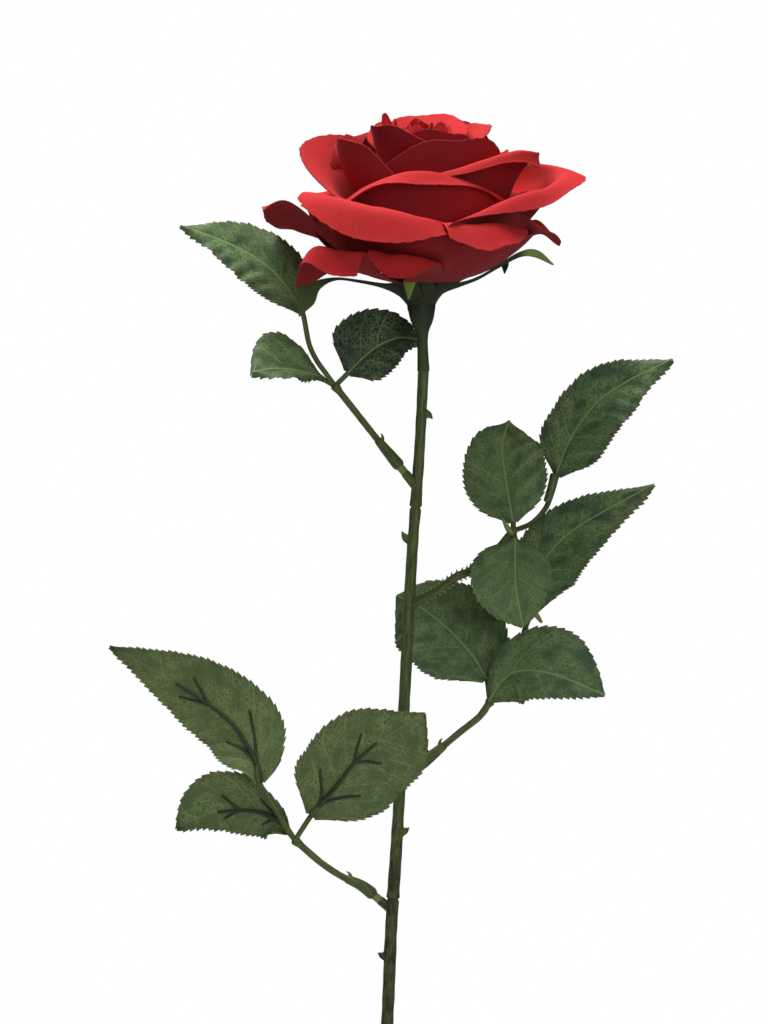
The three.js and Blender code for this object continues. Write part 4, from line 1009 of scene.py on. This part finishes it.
vaseLook = {
    "outline": [(26, 0), (28, 4), (34, 24), (37, 50), (35, 76), (26, 103), (16, 128), (11.6, 150),
                (11.6, 172), (12.6, 190), (15, 200)],
    "wall": 4,
    "floor": 6,
    "floorRadius": 20,
    "footRadii": (22, 25.4),
    "lipRise": 1.2,  # height of the rounding of the lip
    "steps": 120,
    "sides": 128,
    "throwingRing": 0.12,  # depth of the lines that the potter's fingers leave
    "ringPitch": 4.5,
    "ringsBegin": (8, 20),  # heights that the lines fade in over
    "ringsEnd": (185, 198),  # and out over
    "glaze": "#ece6da",
    "glazeWarm": "#d9cdb8",
    "glazeCloud": 20,
    "speck": "#6a5540",
    "speckCell": 3.2,
    "clay": "#b79f80",
    "sand": 0.6,
    "footBand": 3.5,  # unglazed height above the table
}


def makeVase():
    look = vaseLook
    outer = lineThrough(look["outline"], np.linspace(0, 1, look["steps"]))
    height = outer[:, 1]
    rings = look["throwingRing"] * np.sin(2 * math.pi * height / look["ringPitch"])
    outer[:, 0] += rings * smooth(height, *look["ringsBegin"]) * (1 - smooth(height, *look["ringsEnd"]))
    inner = outer[height > look["floor"] + look["wall"]][::-1] - [look["wall"], 0]
    # the lip is rounded over
    lipRadius, top = outer[-1]
    lipFoot = top - look["lipRise"]
    turn = np.linspace(0.15, 0.85, 9) * math.pi
    over = np.column_stack([lipRadius - look["wall"] / 2 * (1 - np.cos(turn)),
                            lipFoot + look["lipRise"] * np.sin(turn)])
    outer, inner = (wall[wall[:, 1] < lipFoot] for wall in (outer, inner))
    foot = [(radius, 0) for radius in (axisGap, *look["footRadii"])]
    floor = [(radius, look["floor"]) for radius in (look["floorRadius"], axisGap)]
    profile = np.vstack([foot, outer[1:], over, inner, floor])
    addPiece("vaseBody", [turnedPart(profile, look["sides"])], [glazeMaterial()], "vase")
    print("vase made")


def glazeMaterial():
    # Stoneware, thrown and dipped in a satin white glaze: soft broad highlights, iron specks that
    # bleed through, and a bare sandy clay foot
    look = vaseLook
    material, tree, shader = startMaterial("satinStonewareGlaze", {"Roughness": 0.32, "IOR": 1.5})
    coordinates = addNode(tree, "TexCoord")
    place = addNode(tree, "VectorMath", {3: 1 / metre}, {0: coordinates.outputs["Object"]},
                    operation="SCALE")  # in mm
    split = addNode(tree, "SeparateXYZ", links={0: place})
    cloud = addNode(tree, "TexNoise", {"Scale": 1 / look["glazeCloud"], "Detail": 4.0}, {"Vector": place})
    cells = addNode(tree, "TexVoronoi", {"Scale": 1 / look["speckCell"]}, {"Vector": place})
    sizes = addNode(tree, "SeparateColor", links={0: cells.outputs["Color"]})
    # a speck in some cells only, each of its own size, up to 0.9 mm across
    reach = addNode(tree, "MapRange", {"From Min": 0.45, "From Max": 1.0, "To Min": 0.0, "To Max": 0.14},
                    {"Value": sizes})
    speck = addNode(tree, "Math", links={0: cells.outputs["Distance"], 1: reach}, operation="LESS_THAN")
    glaze = addNode(tree, "Mix", {6: toLinear(look["glazeWarm"]), 7: toLinear(look["glaze"])}, {0: cloud},
                    data_type="RGBA")
    speckShare = addNode(tree, "Math", {1: 0.75}, {0: speck}, operation="MULTIPLY")
    speckled = addNode(tree, "Mix", {7: toLinear(look["speck"])}, {0: speckShare, 6: glaze.outputs[2]},
                       data_type="RGBA")
    # the glaze ends in a wavering line above the foot
    waver = addNode(tree, "Math", {1: 2.0}, {0: cloud, 2: split.outputs["Z"]}, operation="MULTIPLY_ADD")
    bare = addNode(tree, "MapRange", {"From Min": look["footBand"], "From Max": look["footBand"] + 0.6,
                                      "To Min": 1.0, "To Max": 0.0}, {"Value": waver})
    sand = addNode(tree, "TexNoise", {"Scale": 1 / look["sand"], "Detail": 2.0}, {"Vector": place})
    colour = addNode(tree, "Mix", {7: toLinear(look["clay"])}, {0: bare, 6: speckled.outputs[2]},
                     data_type="RGBA")
    rough = addNode(tree, "MapRange", {"To Min": 0.3, "To Max": 0.8}, {"Value": bare})
    relief = addNode(tree, "Math", links={0: sand, 1: bare}, operation="MULTIPLY")
    relief = addNode(tree, "Math", {1: 0.5}, {0: cloud, 2: relief}, operation="MULTIPLY_ADD")
    bump = addNode(tree, "Bump", {"Strength": 0.3, "Distance": 0.4 * metre}, {"Height": relief})
    linkInputs(tree, shader, {"Base Color": colour.outputs[2], "Normal": bump, "Roughness": rough})
    return material


studioLook = {
    "cameraPlace": (0.0043, -1.2, 0.3795),
    "lens": 124.1,  # the photo's frame is 348 mm tall at the rose
    "keyPlace": (-0.2, -0.02, 1.35),
    "keyAim": (0.01, 0, 0.42),
    "keySize": 0.7,
    "keyPower": 12,
    "fillPlace": (0.5, -1.3, 0.6),
    "fillAim": (0.01, 0, 0.38),
    "fillSize": 0.9,
    "fillPower": 4.5,
    "skyStrength": 0.17,
    "groundStrength": 0.05,
    "paper": "#cfcfcc",
    "paperRadius": 1100,
    "paperThickness": 1,
    "paperSides": 96,
    "paperDrop": 0.2,  # how far the paper lies under the vase's foot
}


def addLamp(name):
    look = studioLook
    light = bpy.data.lights.new(name + "Lamp", "AREA")
    light.shape = "DISK"
    light.size = look[name + "Size"]
    light.energy = look[name + "Power"]
    lamp = bpy.data.objects.new(name + "Lamp", light)
    lamp.location = look[name + "Place"]
    aim = Vector(look[name + "Aim"]) - Vector(look[name + "Place"])
    lamp.rotation_euler = aim.to_track_quat("-Z", "Y").to_euler()
    bpy.context.scene.collection.objects.link(lamp)


def makeCamera():
    camera = bpy.data.objects.new("camera", bpy.data.cameras.new("camera"))
    camera.location = studioLook["cameraPlace"]
    camera.rotation_euler = (math.pi / 2, 0, 0)
    camera.data.sensor_width = 36
    camera.data.lens = studioLook["lens"]
    bpy.context.scene.collection.objects.link(camera)
    bpy.context.scene.camera = camera


def makeWorld():
    # the paper behind is white, and lights the rose only softly
    look = studioLook
    world = bpy.data.worlds.new("whiteStudio")
    world.use_nodes = True
    tree = world.node_tree
    tree.nodes.clear()
    seen = addNode(tree, "LightPath")
    way = addNode(tree, "TexCoord")
    split = addNode(tree, "SeparateXYZ", links={0: way.outputs["Generated"]})
    glow = addNode(tree, "MapRange", {"From Min": -0.4, "From Max": 0.4, "To Min": look["groundStrength"],
                                      "To Max": look["skyStrength"]}, {"Value": split.outputs["Z"]})
    soft = addNode(tree, "Background", {"Color": (1, 1, 1, 1)}, {"Strength": glow})
    white = addNode(tree, "Background", {"Color": (1, 1, 1, 1), "Strength": 1.0})
    mixed = addNode(tree, "MixShader", links={0: seen.outputs["Is Camera Ray"], 1: soft, 2: white})
    addNode(tree, "OutputWorld", links={0: mixed})
    bpy.context.scene.world = world


def makePaper():
    # Matt white paper: no highlight, only a soft shadow where the vase stands
    look = studioLook
    paper = startMaterial("whitePaper", {"Roughness": 0.9, "Base Color": toLinear(look["paper"])})[0]
    radius, under = look["paperRadius"], -look["paperThickness"]
    disc = turnedPart([(axisGap, under), (radius, under), (radius, 0), (axisGap, 0)], look["paperSides"])
    mesh = bpy.data.meshes.new("paperFloor")
    mesh.from_pydata((disc["places"] * metre).tolist(), [], disc["faces"].tolist())
    mesh.materials.append(paper)
    floor = bpy.data.objects.new("paperFloor", mesh)
    floor.location.z = -look["paperDrop"] * metre
    bpy.context.scene.collection.objects.link(floor)


def makeStudio():
    makeCamera()
    addLamp("key")
    addLamp("fill")
    makeWorld()
    makePaper()
    bpy.context.scene.view_settings.view_transform = "Standard"
    print("studio made")


makeStudio()
makeVase()
makeStem()
makeStalks()
makeLeaves()
makeCalyx()
makeBloom()
